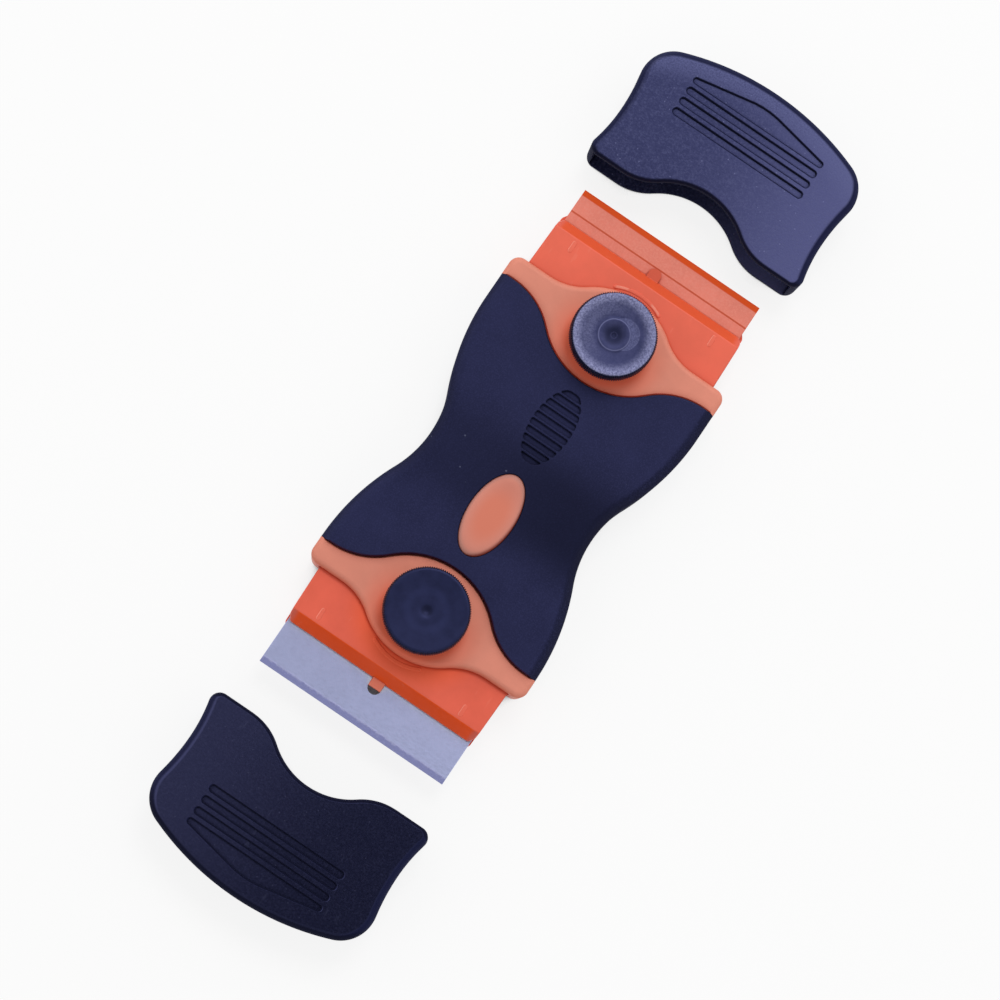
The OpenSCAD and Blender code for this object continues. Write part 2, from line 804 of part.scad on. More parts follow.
module steel_clamp_bolt() {
    steel_end() clamp_bolt();
}

module steel_washer() {
    steel_end() washer();
}

module steel_knob() {
    steel_end() knob();
}

module steel_knob_insert() {
    steel_end() knob_insert();
}

module steel_cap() {
    steel_end() cap(steel_cap_pulled);
}

handle_core();
grip_sleeve();
plastic_blade();
plastic_upper_jaw();
plastic_lower_jaw();
plastic_clamp_bolt();
plastic_washer();
plastic_knob();
plastic_knob_insert();
plastic_cap();
steel_blade();
steel_upper_jaw();
steel_lower_jaw();
steel_clamp_bolt();
steel_washer();
steel_knob();
steel_knob_insert();
steel_cap();
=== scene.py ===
"""Two-ended razor blade scraper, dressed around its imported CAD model.

Every operator builds one piece or a group of like pieces, in the CAD frame. Plans and heights
are written in millimetres; the panel's sizes and the places of camera and lamp are in metres.
"""

import math

import bpy
from bpy.props import FloatProperty, FloatVectorProperty, IntProperty, PointerProperty
from mathutils import Euler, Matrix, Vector


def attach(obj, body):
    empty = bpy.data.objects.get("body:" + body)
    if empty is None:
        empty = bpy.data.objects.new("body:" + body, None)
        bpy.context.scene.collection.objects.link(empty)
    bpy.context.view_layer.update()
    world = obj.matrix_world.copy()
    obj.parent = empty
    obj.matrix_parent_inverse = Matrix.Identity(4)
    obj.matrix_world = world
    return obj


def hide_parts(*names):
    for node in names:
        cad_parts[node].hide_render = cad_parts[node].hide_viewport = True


bl_info = {
    "name": "Two-ended blade scraper",
    "version": (1, 0, 0),
    "blender": (4, 5, 0),
    "location": "View3D > Sidebar > Scraper",
    "description": "Builds the pieces and finishes of a two-ended blade scraper",
    "category": "Object",
}

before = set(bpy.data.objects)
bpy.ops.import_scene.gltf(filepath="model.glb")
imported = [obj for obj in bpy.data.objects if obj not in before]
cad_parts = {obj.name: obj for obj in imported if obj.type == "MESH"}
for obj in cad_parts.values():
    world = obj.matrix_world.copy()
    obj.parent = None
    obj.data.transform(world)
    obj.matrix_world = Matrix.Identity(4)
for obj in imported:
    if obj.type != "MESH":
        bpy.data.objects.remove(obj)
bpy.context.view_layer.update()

MM = 0.001
ENDS = (("plastic", 1), ("steel", -1))

# Plan of the handle, from the middle of its underside.
HALF_WIDTH, GRIP_REACH = 22.8, 28.55
SCOOP_RUN, SCOOP_SHARE = 20.5, 0.47
SIDE_RUN, WAIST_PLACE, WAIST_SHARE = 25.85, -2.3, 0.33
COLLAR_REACH, COLLAR_CORNER = 33.0, 2.0
BULGE_RUN, BULGE_SHARE = 15.4, 0.44
CORE_TOP, GRIP_TOP = 11.0, 11.6
WEB_LOW, WEB_HIGH, WEB_REACH, WEB_PLAY, SIDE_SKIN = 0.8, 10.4, 30.7, 0.02, 1.8
BOLT_PLACE, OVAL_PLACE, PAD_PLACE = 29.4, -8.7, 10.2
DOME_SINK, DOME_RISE, DOME_SHOULDER = 0.3, 0.42, 2.0
PAD_LENGTH, PAD_WIDTH, PAD_LAND, PAD_CORNER = 15.3, 7.6, 0.42, 0.3

# Pockets of the collars, and the boss, seat and ways of the clamps.
POCKET_LOW, POCKET_HIGH, POCKET_SIDE_PLAY, POCKET_END_PLAY = 1.55, 9.45, 0.2, 0.3
BOSS_RADIUS, BOSS_LOW, BOSS_HIGH = 5.2, 1.0, 4.3
SEAT_RADIUS, SEAT_LOW, SEAT_HIGH = 5.6, 10.2, 11.6
BOLT_WAY, BOSS_WAY = 2.3, 5.5
HEX_FLATS, HEX_PLAY, HEX_DEPTH = 7.0, 0.05, 2.85

# Heads, blades and knobs.
HEAD_LOW, HEAD_MIDDLE, HEAD_HIGH = 1.7, 5.5, 9.3
TONGUE_END, TONGUE_HALF, HEAD_STEP, HEAD_HALF = 23.5, 18.0, 29.45, 20.0
HEAD_FRONT_HALF, CORNER_WIDTH, CORNER_LENGTH = 19.75, 0.75, 1.1
UPPER_FRONT, LOWER_FRONT = 43.8, 45.3
JAW_BEVEL, JAW_DROP, JAW_LIP, JAW_EDGE = 2.15, 2.0, 0.4, 0.25
PEG_GAP, PEG_PLAY, PEG_RISE, SLOT_WIDTH = 0.15, 0.05, 0.6, 2.6
RIB_RADIUS, RIB_HALF, RIB_ANGLE, RIB_RISE = 10.0, 0.45, 28, 0.12
CATCH_PLACE, CATCH_SETBACK, CATCH_RISE = 15.1, 1.75, 0.07
CATCH_HALF_LENGTH, CATCH_HALF_WIDTH = 1.35, 0.55
SUNK, SUNK_EDGE = 0.6, 0.3
BLADES = {
    "plastic": {"half": 19.1, "back": 31.7, "thick": 1.5, "slot": 9.2, "corner": 0.06},
    "steel": {"half": 19.5, "back": 33.6, "thick": 0.3, "slot": 6.6, "corner": 0.03},
}
BLADE_DEPTH = 19.0
KNOB_LOW, KNOB_HIGH = 12.5, 17.5
FLASH, FLASH_RADIUS = (1.35, 0.95), 2.95

# Plan of a cap, from the flat of its mouth, and where the mouths and one crown lie along Y.
CAP_LENGTH, CAP_WALL, CAP_LIP_SHARE = 28.2, 1.3, 0.4
CAP_WAIST_REACH, CAP_SHOULDER_REACH, CROWN_RADIUS = 9.6, 18.6, 52.0
CAP_MOUTHS = {"plastic": 56.1, "steel": 60.8}
CROWN_MIDDLE = CAP_MOUTHS["plastic"] + CAP_LENGTH - CROWN_RADIUS
FINGER_FIRST, FINGER_PITCH, FINGER_RUN, FINGER_HALF = 14.7, 2.3, 13.9, 0.56
FINGER_CORNER, FINGER_PEAK = 0.45, ((2.4, 3.05), (0.8, 3.2))

# Camera and lamp: places and the lamp's size in metres, turns in degrees, the lens in
# millimetres and the power in watts.
CAMERA_PLACE, CAMERA_TURN = (0.000025, -0.061756, 0.484150), (5.6354, -3.7690, 34.0012)
SENSOR_WIDTH, FOCAL_LENGTH = 36.0, 97.0
LAMP_PLACE, LAMP_SIZE, LAMP_POWER = (-0.06, 0.42, 0.76), 0.32, 2.3


def length(name, description, default, low, high):
    return FloatProperty(name=name, description=description, default=default, min=low, max=high,
                         unit="LENGTH")


def count(name, description, default, low, high):
    return IntProperty(name=name, description=description, default=default, min=low, max=high)


def tint(name, description, default):
    return FloatVectorProperty(name=name, description=description, default=default, min=0, max=1,
                               subtype="COLOR", size=3)


class ScraperSizes(bpy.types.PropertyGroup):
    """Sizes of the dressed pieces that a user may change."""

    waist_width: length("Waist width", "Width of the handle at its waist", 0.0345, 0.031, 0.038)
    scoop_depth: length("Scoop depth", "How far each end of the grip is scooped out",
                        0.00845, 0.006, 0.01)
    collar_bulge: length("Collar bulge", "How far the middle of a collar stands out",
                         0.0053, 0.004, 0.006)
    grip_rounding: length("Grip rounding", "Rounding of the side edges of the grip",
                          0.0022, 0.001, 0.0026)
    collar_rounding: length("Collar rounding", "Rounding of the edges of the collars",
                            0.0012, 0.0006, 0.0014)
    cap_rounding: length("Cap rounding", "Rounding of the edges of the caps", 0.0016, 0.0008, 0.0018)
    cap_waist: length("Cap waist", "Width of a cap at its waist", 0.0438, 0.0434, 0.0448)
    oval_length: length("Oval length", "Length of the core's oval in the grip", 0.0168, 0.012, 0.02)
    oval_width: length("Oval width", "Width of the core's oval in the grip", 0.0089, 0.006, 0.012)
    pad_grooves: count("Pad grooves", "Number of grooves in the ribbed pad", 10, 6, 12)
    pad_depth: length("Pad groove depth", "Depth of the grooves in the ribbed pad",
                      0.0006, 0.0003, 0.0008)
    finger_depth: length("Finger groove depth", "Depth of the finger grooves on the caps",
                         0.00045, 0.0002, 0.0006)
    knob_teeth: count("Knob teeth", "Number of teeth round a knob", 120, 60, 120)
    tooth_depth: length("Tooth depth", "Depth of the teeth of a knob", 0.00028, 0.0001, 0.00035)


class ScraperColours(bpy.types.PropertyGroup):
    """Colours of the finishes."""

    grip: tint("Grip", "Colour of the rubber grip", (0.0172, 0.0188, 0.0535))
    cap: tint("Caps", "Colour of the moulded caps", (0.0095, 0.0105, 0.033))
    core: tint("Core", "Colour of the core and its collars", (0.755, 0.27, 0.195))
    jaw: tint("Jaws", "Colour of the jaws", (0.83, 0.140, 0.088))
    plastic_blade: tint("Plastic blade", "Colour of the plastic blade", (0.78, 0.222, 0.165))
    steel: tint("Steel blade", "Colour of the steel blade", (0.52, 0.56, 0.84))
    knob: tint("Knobs", "Colour of the clamp knobs", (0.012, 0.0145, 0.043))


def sizes():
    return bpy.context.scene.scraper_sizes


def colour(name):
    return tuple(getattr(bpy.context.scene.scraper_colours, name))


# Outlines: lists of (x, y, share), where share is how much of the edge rounding the
# stretch from that point to the next one takes.


def arc(centre, radius, start, end, share=1.0, closed=False):
    """Points along an arc, in millimetres and degrees."""
    turn = abs(end - start)
    steps = max(2, math.ceil(turn / 6), math.ceil(math.radians(turn) * radius / 0.6))
    turned = [math.radians(start + (end - start) * i / steps)
              for i in range(steps + (1 if closed else 0))]
    return [(centre[0] + radius * math.cos(a), centre[1] + radius * math.sin(a), share)
            for a in turned]


def s_radii(run, depth, share):
    """The two radii and the angle of an S-curve that shifts by depth over run."""
    total = (run * run + depth * depth) / (2 * depth)
    return total * share, total * (1 - share), math.degrees(math.asin(run / total))


def flip_y(points):
    return [(x, -y, s) for x, y, s in reversed(points)]


def both_sides(right):
    """Closes an outline that runs along its right side and stays off the middle line."""
    return right + [(-x, y, 1) for x, y, _ in reversed(right)]


def whole(half):
    """Closes an outline that runs up its right side from the middle to the middle."""
    left = [(-half[i][0], half[i][1], half[i - 1][2]) for i in range(len(half) - 2, 0, -1)]
    last = half[-1]
    return half[:-1] + [(last[0], last[1], half[-2][2])] + left


def scoop(share):
    depth = sizes().scoop_depth / MM
    tip, low, angle = s_radii(SCOOP_RUN, depth, SCOOP_SHARE)
    return (arc((SCOOP_RUN, GRIP_REACH - tip), tip, 90, 90 + angle, share)
            + arc((0, GRIP_REACH - depth + low), low, 270 + angle, 270, share, True))


def grip_side(inset=0.0):
    waist_half = sizes().waist_width / 2 / MM
    waist, hip, angle = s_radii(SIDE_RUN, HALF_WIDTH - waist_half, WAIST_SHARE)
    middle = HALF_WIDTH - hip
    return (arc((middle, WAIST_PLACE - SIDE_RUN), hip - inset, 0, angle)
            + arc((waist_half + waist, WAIST_PLACE), waist + inset, 180 + angle, 180 - angle)
            + arc((middle, WAIST_PLACE + SIDE_RUN), hip - inset, -angle, 0, 1.0, True))


def grip_outline(end_share):
    tip = scoop(end_share)
    return whole(flip_y(tip) + [(HALF_WIDTH, -GRIP_REACH, 1.0)] + grip_side()
                 + [(HALF_WIDTH, GRIP_REACH, end_share)] + tip)


def web_outline(play):
    """Plan of the web inside the grip, smaller all round by a play."""
    edge = HALF_WIDTH - SIDE_SKIN - play
    return both_sides([(edge, -WEB_REACH, 1)] + grip_side(SIDE_SKIN + play) + [(edge, WEB_REACH, 1)])


def bulge(base, share):
    depth = sizes().collar_bulge / MM
    foot, crest_highlight, angle = s_radii(BULGE_RUN, depth, BULGE_SHARE)
    return (arc((BULGE_RUN, base + foot), foot, 270, 270 - angle, share)
            + arc((0, base + depth - crest_highlight), crest_highlight, 90 - angle, 90, share, True))


def collar_outline(back_share):
    corner = (HALF_WIDTH - COLLAR_CORNER, COLLAR_REACH - COLLAR_CORNER)
    return whole(scoop(back_share)[::-1] + [(HALF_WIDTH, GRIP_REACH, 1.0)]
                 + arc(corner, COLLAR_CORNER, 0, 90, 1.0, True) + bulge(COLLAR_REACH, 1.0))


def cap_side(inset=0.0):
    """Side and crown of a cap, from its mouth corner to the middle of the crown."""
    waist_half = sizes().cap_waist / 2 / MM
    depth = HALF_WIDTH - waist_half
    low_total, _, a_low = s_radii(CAP_WAIST_REACH - COLLAR_CORNER, depth, 1)
    high_total, _, a_high = s_radii(CAP_SHOULDER_REACH - CAP_WAIST_REACH, depth, 1)
    rise = CAP_SHOULDER_REACH - CAP_LENGTH + CROWN_RADIUS
    corner = (CROWN_RADIUS ** 2 - HALF_WIDTH ** 2 - rise ** 2) / (2 * (CROWN_RADIUS - HALF_WIDTH))
    low, high = low_total - COLLAR_CORNER, high_total - corner
    a_crown = math.degrees(math.atan2(rise, HALF_WIDTH - corner))
    return (arc((HALF_WIDTH - COLLAR_CORNER, COLLAR_CORNER), COLLAR_CORNER - inset, 0, a_low)
            + arc((waist_half + low, CAP_WAIST_REACH), low + inset, 180 + a_low, 180)
            + arc((waist_half + high, CAP_WAIST_REACH), high + inset, 180, 180 - a_high)
            + arc((HALF_WIDTH - corner, CAP_SHOULDER_REACH), corner - inset, -a_high, a_crown)
            + arc((0, CAP_LENGTH - CROWN_RADIUS), CROWN_RADIUS - inset, a_crown, 90, 1.0, True))


def cap_outline(lip_share):
    corner = arc((HALF_WIDTH - COLLAR_CORNER, COLLAR_CORNER), COLLAR_CORNER, 270, 360)
    blended = [(x, y, lip_share + (1 - lip_share) * i / len(corner))
               for i, (x, y, _) in enumerate(corner)]
    return whole(bulge(0, lip_share)[::-1] + blended + cap_side())


def circle(radius, points, middle=(0.0, 0.0), start=0.0):
    return [(middle[0] + radius * math.cos(start + math.tau * i / points),
             middle[1] + radius * math.sin(start + math.tau * i / points), 1.0)
            for i in range(points)]


def oval(long, wide, middle):
    return [(wide / 2 * x, middle + long / 2 * y, 1.0) for x, y, _ in circle(1, 96)]


def stadium(half_length, half_width):
    """Outline with round ends along X."""
    run = half_length - half_width
    return (arc((run, 0), half_width, -90, 90, 1.0, True)
            + arc((-run, 0), half_width, 90, 270, 1.0, True))


def slot_outline(half_length, half_width, middle):
    """Outline with round ends along Y."""
    return [(y, middle + x, 1) for x, y, _ in stadium(half_length, half_width)]


# Modelling helpers.


def activate(obj):
    bpy.ops.object.select_all(action="DESELECT")
    obj.select_set(True)
    bpy.context.view_layer.objects.active = obj


def on_whole(obj, *steps):
    """Runs steps in edit mode, each on the whole mesh."""
    activate(obj)
    bpy.ops.object.mode_set(mode="EDIT")
    for step in steps:
        bpy.ops.mesh.select_all(action="SELECT")
        step()
    bpy.ops.object.mode_set(mode="OBJECT")


def face_outward():
    bpy.ops.mesh.normals_make_consistent(inside=False)


def loft(name, rings):
    """Solid drawn out from ring to ring, all with as many points, in millimetres."""
    points = len(rings[0])
    bpy.ops.object.select_all(action="DESELECT")
    bpy.ops.mesh.primitive_circle_add(vertices=points, radius=1, fill_type="NGON")
    obj = bpy.context.object
    obj.name = name
    bpy.ops.object.mode_set(mode="EDIT")
    bpy.ops.mesh.select_all(action="SELECT")
    for _ in rings[1:]:
        bpy.ops.mesh.extrude_region_move(TRANSFORM_OT_translate={"value": (0, 0, 1)})
    bpy.ops.object.mode_set(mode="OBJECT")
    start = obj.data.vertices[0].co.copy()
    for vertex in obj.data.vertices:
        turn = math.atan2(vertex.co.y, vertex.co.x) - math.atan2(start.y, start.x)
        vertex.co = Vector(rings[round(vertex.co.z)][round(turn / math.tau * points) % points]) * MM
    on_whole(obj, face_outward)
    return obj


def prism(name, corners, along):
    """Solid with the given corners as its end face, drawn out along a vector."""
    return loft(name, [corners, [tuple(Vector(c) + Vector(along)) for c in corners]])


def plate(name, outline, low, high):
    return prism(name, [(x, y, low) for x, y, _ in outline], (0, 0, high - low))


def block(name, low, high):
    (x0, y0, z0), (x1, y1, z1) = low, high
    return prism(name, [(x0, y0, z0), (x1, y0, z0), (x1, y1, z0), (x0, y1, z0)], (0, 0, z1 - z0))


def inset_point(before, point, after, first, second):
    """Point moved inward by one distance from the edge before it, another from the one after."""
    p = Vector(point[:2])
    a, b = (p - Vector(before[:2])).normalized(), (Vector(after[:2]) - p).normalized()
    n, m = Vector((-a.y, a.x)), Vector((-b.y, b.x))
    across = n.x * m.y - n.y * m.x
    if n.dot(m) > 0.86:
        middle = (n + m).normalized()
        return p + middle * (first + second) / 2 / middle.dot(n)
    return p + Vector((first * m.y - second * n.y, second * n.x - first * m.x)) / across


def rounded_plate(name, outline, low, high, rounding, segments=7):
    """Plate with rounded rims, each stretch of them by its own share of the rounding."""
    def inset(share, depth):
        radius = rounding * share
        return radius - math.sqrt(radius ** 2 - (radius - depth) ** 2) if depth < radius else 0.0

    steps = [rounding * (1 - math.cos(math.pi / 2 * i / segments)) for i in range(segments + 1)]
    rings = []
    for height in [low + d for d in steps] + [high - d for d in reversed(steps)]:
        depth = min(height - low, high - height)
        ring = []
        for i, point in enumerate(outline):
            before, after = outline[i - 1], outline[(i + 1) % len(outline)]
            place = inset_point(before, point, after, inset(before[2], depth), inset(point[2], depth))
            ring.append((place.x, place.y, height))
        rings.append(ring)
    return loft(name, rings)


def apply_modifier(obj, kind, **settings):
    activate(obj)
    modifier = obj.modifiers.new(kind.title(), kind)
    for key, value in settings.items():
        setattr(modifier, key, value)
    bpy.ops.object.modifier_apply(modifier=modifier.name)


def combine(obj, tool, operation="DIFFERENCE"):
    apply_modifier(obj, "BOOLEAN", operation=operation, solver="EXACT", object=tool)
    bpy.data.objects.remove(tool, do_unlink=True)


def join(first, *others):
    activate(first)
    for other in others:
        other.select_set(True)
    bpy.ops.object.join()
    return first


def sharp_edges(mesh, least):
    """Edges between faces that meet at more than least degrees, with their middles."""
    faces = {}
    for polygon in mesh.polygons:
        for key in polygon.edge_keys:
            faces.setdefault(key, []).append(polygon.normal)
    limit = math.radians(least)
    for edge in mesh.edges:
        normals = faces.get(tuple(sorted(edge.vertices)), [])
        if len(normals) == 2 and normals[0].angle(normals[1], 0) > limit:
            a, b = (mesh.vertices[v].co for v in edge.vertices)
            yield edge, (a + b) / 2 / MM


def soften(obj, region, width, segments=2, least=40):
    """Bevels the sharp edges whose middles, in millimetres, lie in a region."""
    activate(obj)
    mesh = obj.data
    for part in (mesh.vertices, mesh.edges, mesh.polygons):
        part.foreach_set("select", [False] * len(part))
    for edge, middle in list(sharp_edges(mesh, least)):
        edge.select = region(middle)
    bpy.context.tool_settings.mesh_select_mode = (False, True, False)
    bpy.ops.object.mode_set(mode="EDIT")
    bpy.ops.mesh.bevel(offset=width * MM, segments=segments, affect="EDGES",
                       clamp_overlap=False)
    bpy.ops.object.mode_set(mode="OBJECT")


def turn_half(obj):
    """Turns a piece drawn for the plastic end to the steel end."""
    on_whole(obj, lambda: bpy.ops.transform.rotate(value=math.pi, orient_axis="Z",
                                                   center_override=(0, 0, 0)))


def copy_of(obj, name):
    twin = obj.copy()
    twin.data = obj.data.copy()
    twin.name = name
    bpy.context.scene.collection.objects.link(twin)
    return twin


def clear_flats(obj, least=1.5):
    """Dissolves the points and edges where faces and edges bend by less than least degrees."""
    on_whole(obj, lambda: bpy.ops.mesh.dissolve_limited(angle_limit=math.radians(least)))


def settle(obj, material, body, node, way=1, smooth=35):
    """Turns a piece to its end, cleans and shades it, and puts it in place of its CAD node."""
    if way < 0:
        turn_half(obj)
    on_whole(obj, lambda: bpy.ops.mesh.remove_doubles(threshold=0.001 * MM), face_outward)
    bpy.ops.object.shade_smooth_by_angle(angle=math.radians(smooth))
    apply_modifier(obj, "WEIGHTED_NORMAL", keep_sharp=True)
    obj.data.materials.clear()
    obj.data.materials.append(material)
    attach(obj, body)
    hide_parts(node)
    obj.select_set(False)


# Finishes. Patterns lie on Object coordinates, so a scale of 1000 has one cell a millimetre. Several
# finishes also paint shade, highlights and sheen into their colour, each marked where it is laid.


def add(tree, kind, inputs=None, **settings):
    node = tree.nodes.new(kind)
    for key, value in settings.items():
        setattr(node, key, value)
    for key, value in (inputs or {}).items():
        if isinstance(value, bpy.types.NodeSocket):
            tree.links.new(value, node.inputs[key])
        else:
            node.inputs[key].default_value = value
    return node


def empty_tree(owner):
    owner.use_nodes = True
    owner.node_tree.nodes.clear()
    return owner.node_tree


def remap(tree, value, low, high, to_low=0.0, to_high=1.0, smooth=True):
    return add(tree, "ShaderNodeMapRange",
               {"Value": value, "From Min": low, "From Max": high,
                "To Min": to_low, "To Max": to_high},
               interpolation_type="SMOOTHSTEP" if smooth else "LINEAR").outputs["Result"]


def maths(tree, operation, a, b=0.0):
    return add(tree, "ShaderNodeMath", {0: a, 1: b}, operation=operation).outputs[0]


def shade(value, amount):
    return tuple(c * amount for c in value)


class Finish:
    """One material under way: its tree, x, y and z in millimetres, and its tone so far."""

    def __init__(self, name):
        self.material = bpy.data.materials.new(name)
        self.tree = empty_tree(self.material)
        self.place = add(self.tree, "ShaderNodeTexCoord").outputs["Object"]
        self.shader = add(self.tree, "ShaderNodeBsdfPrincipled")
        add(self.tree, "ShaderNodeOutputMaterial", {"Surface": self.shader.outputs[0]})
        measured = add(self.tree, "ShaderNodeVectorMath", {0: self.place, "Scale": 1 / MM},
                       operation="SCALE")
        split = add(self.tree, "ShaderNodeSeparateXYZ", {"Vector": measured.outputs[0]})
        self.x, self.y, self.z = (split.outputs[i] for i in range(3))

    def maths(self, operation, a, b=0.0):
        return maths(self.tree, operation, a, b)

    def plus(self, a, b):
        return self.maths("ADD", a, b)

    def less(self, a, b):
        return self.maths("SUBTRACT", a, b)

    def size(self, value):
        return self.maths("ABSOLUTE", value)

    def times(self, first, *others):
        for other in others:
            first = self.maths("MULTIPLY", first, other)
        return first

    def ramp(self, value, low, high, to_low=0.0, to_high=1.0):
        return remap(self.tree, value, low, high, to_low, to_high)

    def band(self, value, low, full_low, full_high, high):
        """1 from full_low to full_high, 0 outside low and high."""
        return self.times(self.ramp(value, low, full_low), self.ramp(value, high, full_high))

    def noise(self, scale, detail, rough, place=None):
        return add(self.tree, "ShaderNodeTexNoise",
                   {"Vector": self.place if place is None else place, "Scale": scale,
                    "Detail": detail, "Roughness": rough}).outputs["Fac"]

    def mix(self, factor, first, second):
        """Blend of two colours, each of them a socket or three numbers."""
        first, second = (value if isinstance(value, bpy.types.NodeSocket) else (*value, 1.0)
                         for value in (first, second))
        return add(self.tree, "ShaderNodeMix", {0: factor, 6: first, 7: second},
                   data_type="RGBA").outputs[2]

    def start(self, cloud, base, dark, light, low=0.3, high=0.7):
        """Begins the tone: a base colour that wanders from dark to light with a cloud."""
        self.tone = self.mix(self.ramp(cloud, low, high), shade(base, dark), shade(base, light))

    def paint(self, mask, value, amount=1.0):
        """Lays a colour over the tone, by an amount, where a mask is 1."""
        self.tone = self.mix(mask if amount == 1.0 else self.times(mask, amount), self.tone, value)

    def facing(self, axis):
        """How far the surface faces along an axis, from -1 to 1."""
        normal = add(self.tree, "ShaderNodeNewGeometry").outputs["Normal"]
        return add(self.tree, "ShaderNodeSeparateXYZ", {"Vector": normal}).outputs[axis]

    def facing_up(self):
        """How far the surface faces up or down, from 0 to 1."""
        return self.size(self.facing("Z"))

    def distance(self, x, y):
        flat = add(self.tree, "ShaderNodeCombineXYZ", {"X": x, "Y": y})
        return add(self.tree, "ShaderNodeVectorMath", {0: flat.outputs[0]},
                   operation="LENGTH").outputs["Value"]

    def from_point(self, x, y):
        """Distance from an upright axis at x and y."""
        return self.distance(self.less(self.x, x), self.less(self.y, y))

    def from_bolt(self):
        """Distance from the axis of the nearer clamp bolt."""
        return self.distance(self.x, self.less(self.size(self.y), BOLT_PLACE))

    def past_bolt(self):
        """How far a place lies past the nearer clamp bolt along Y."""
        return self.less(self.y, self.times(self.maths("SIGN", self.y), BOLT_PLACE))

    def from_oval(self):
        """Distance from the middle of the oval, 1 at its rim."""
        s = sizes()
        along = self.less(self.y, OVAL_PLACE)
        return self.distance(self.maths("DIVIDE", self.x, s.oval_width / 2 / MM),
                             self.maths("DIVIDE", along, s.oval_length / 2 / MM))

    def crevice(self, reach, full=0.45):
        """How shut in the surface is within a reach in millimetres, from 0 to 1."""
        shut = add(self.tree, "ShaderNodeAmbientOcclusion", {"Distance": reach * MM}, samples=8)
        return self.ramp(shut.outputs["AO"], 0.94, full)

    def specks(self, scale, size, share):
        """Small scattered dots, 1 inside a dot."""
        cells = add(self.tree, "ShaderNodeTexVoronoi", {"Vector": self.place, "Scale": scale})
        dots = self.ramp(cells.outputs["Distance"], size, size * 0.5)
        pick = add(self.tree, "ShaderNodeSeparateColor", {"Color": cells.outputs["Color"]})
        return self.times(dots, self.maths("LESS_THAN", pick.outputs[0], share))

    def scratches(self, scale, stretch, turn, level):
        """Fine streaks along one direction, 1 inside a streak."""
        turned = add(self.tree, "ShaderNodeMapping",
                     {"Vector": self.place, "Rotation": (0, 0, math.radians(turn)),
                      "Scale": (1.0, stretch, 1.0)})
        return self.ramp(self.noise(scale, 2.0, 0.4, turned.outputs[0]), level, level + 0.06)

    def close(self, rough, height, depth, strength, **constants):
        """Links tone, roughness and bump, and sets what is the same all over."""
        self.tree.links.new(self.tone, self.shader.inputs["Base Color"])
        self.tree.links.new(rough, self.shader.inputs["Roughness"])
        bump = add(self.tree, "ShaderNodeBump",
                   {"Height": height, "Distance": depth * MM, "Strength": strength})
        self.tree.links.new(bump.outputs[0], self.shader.inputs["Normal"])
        for key, value in constants.items():
            self.shader.inputs[key.replace("_", " ")].default_value = value
        return self.material


BLUE_SHEEN = (0.36, 0.40, 1.0, 1.0)
WARM_SHEEN = (1.0, 0.55, 0.38, 1.0)
# Near-black navy laid as painted shade on the caps.
PAINTED_SHADE_NAVY = (0.0006, 0.0006, 0.003)


def grip_rubber():
    f, base = Finish("navy_rubber_grip"), colour("grip")
    cloud = f.noise(160, 5, 0.6)
    f.start(cloud, base, 0.88, 1.12)
    # Painted shade: darker across the waist, most towards +X; the fine pale grain is held back there.
    waist_shade = f.times(f.ramp(f.size(f.less(f.y, WAIST_PLACE)), 15, 3),
                      f.ramp(f.x, -16, 13, 0.55, 0.97))
    f.paint(waist_shade, shade(base, 0.27))
    # Painted shade: rounded edges darker, and faces turned to +X darker still.
    edge = f.ramp(f.facing_up(), 0.97, 0.55)
    f.paint(edge, shade(base, 0.5), 0.6)
    f.paint(f.ramp(f.facing("X"), 0.03, 0.4, 0, 0.8), shade(base, 0.3))
    # Painted shade in recesses, strongest on faces turned away from +Y.
    away = f.ramp(f.facing("Y"), 0.1, -0.3, 0.35, 0.95)
    f.paint(f.times(f.crevice(0.6), away), (0.001, 0.001, 0.004))
    # Painted shade: a dark maroon line on the grip's rounded end at the -Y collar seam, for the shadowed
    # gap with its red glow.
    lip = f.times(f.ramp(f.facing_up(), 0.985, 0.8), f.ramp(f.y, -17, -18.5),
                  f.ramp(f.facing("Y"), -0.02, -0.12))
    f.paint(lip, (0.05, 0.004, 0.006), 0.9)
    f.paint(f.specks(420, 0.10, 0.05), (0.12, 0.13, 0.2), 0.5)
    grain = f.noise(4200, 4, 0.65)
    pale = f.times(f.ramp(grain, 0.42, 0.72, 0, 0.5), f.ramp(waist_shade, 0, 1, 1, 0.25))
    f.paint(pale, shade(base, 1.9))
    rough = f.plus(f.ramp(cloud, 0.3, 0.7, 0.5, 0.62), f.times(edge, 0.35))
    return f.close(rough, grain, 0.025, 0.5, Specular_Tint=BLUE_SHEEN, Specular_IOR_Level=0.25)


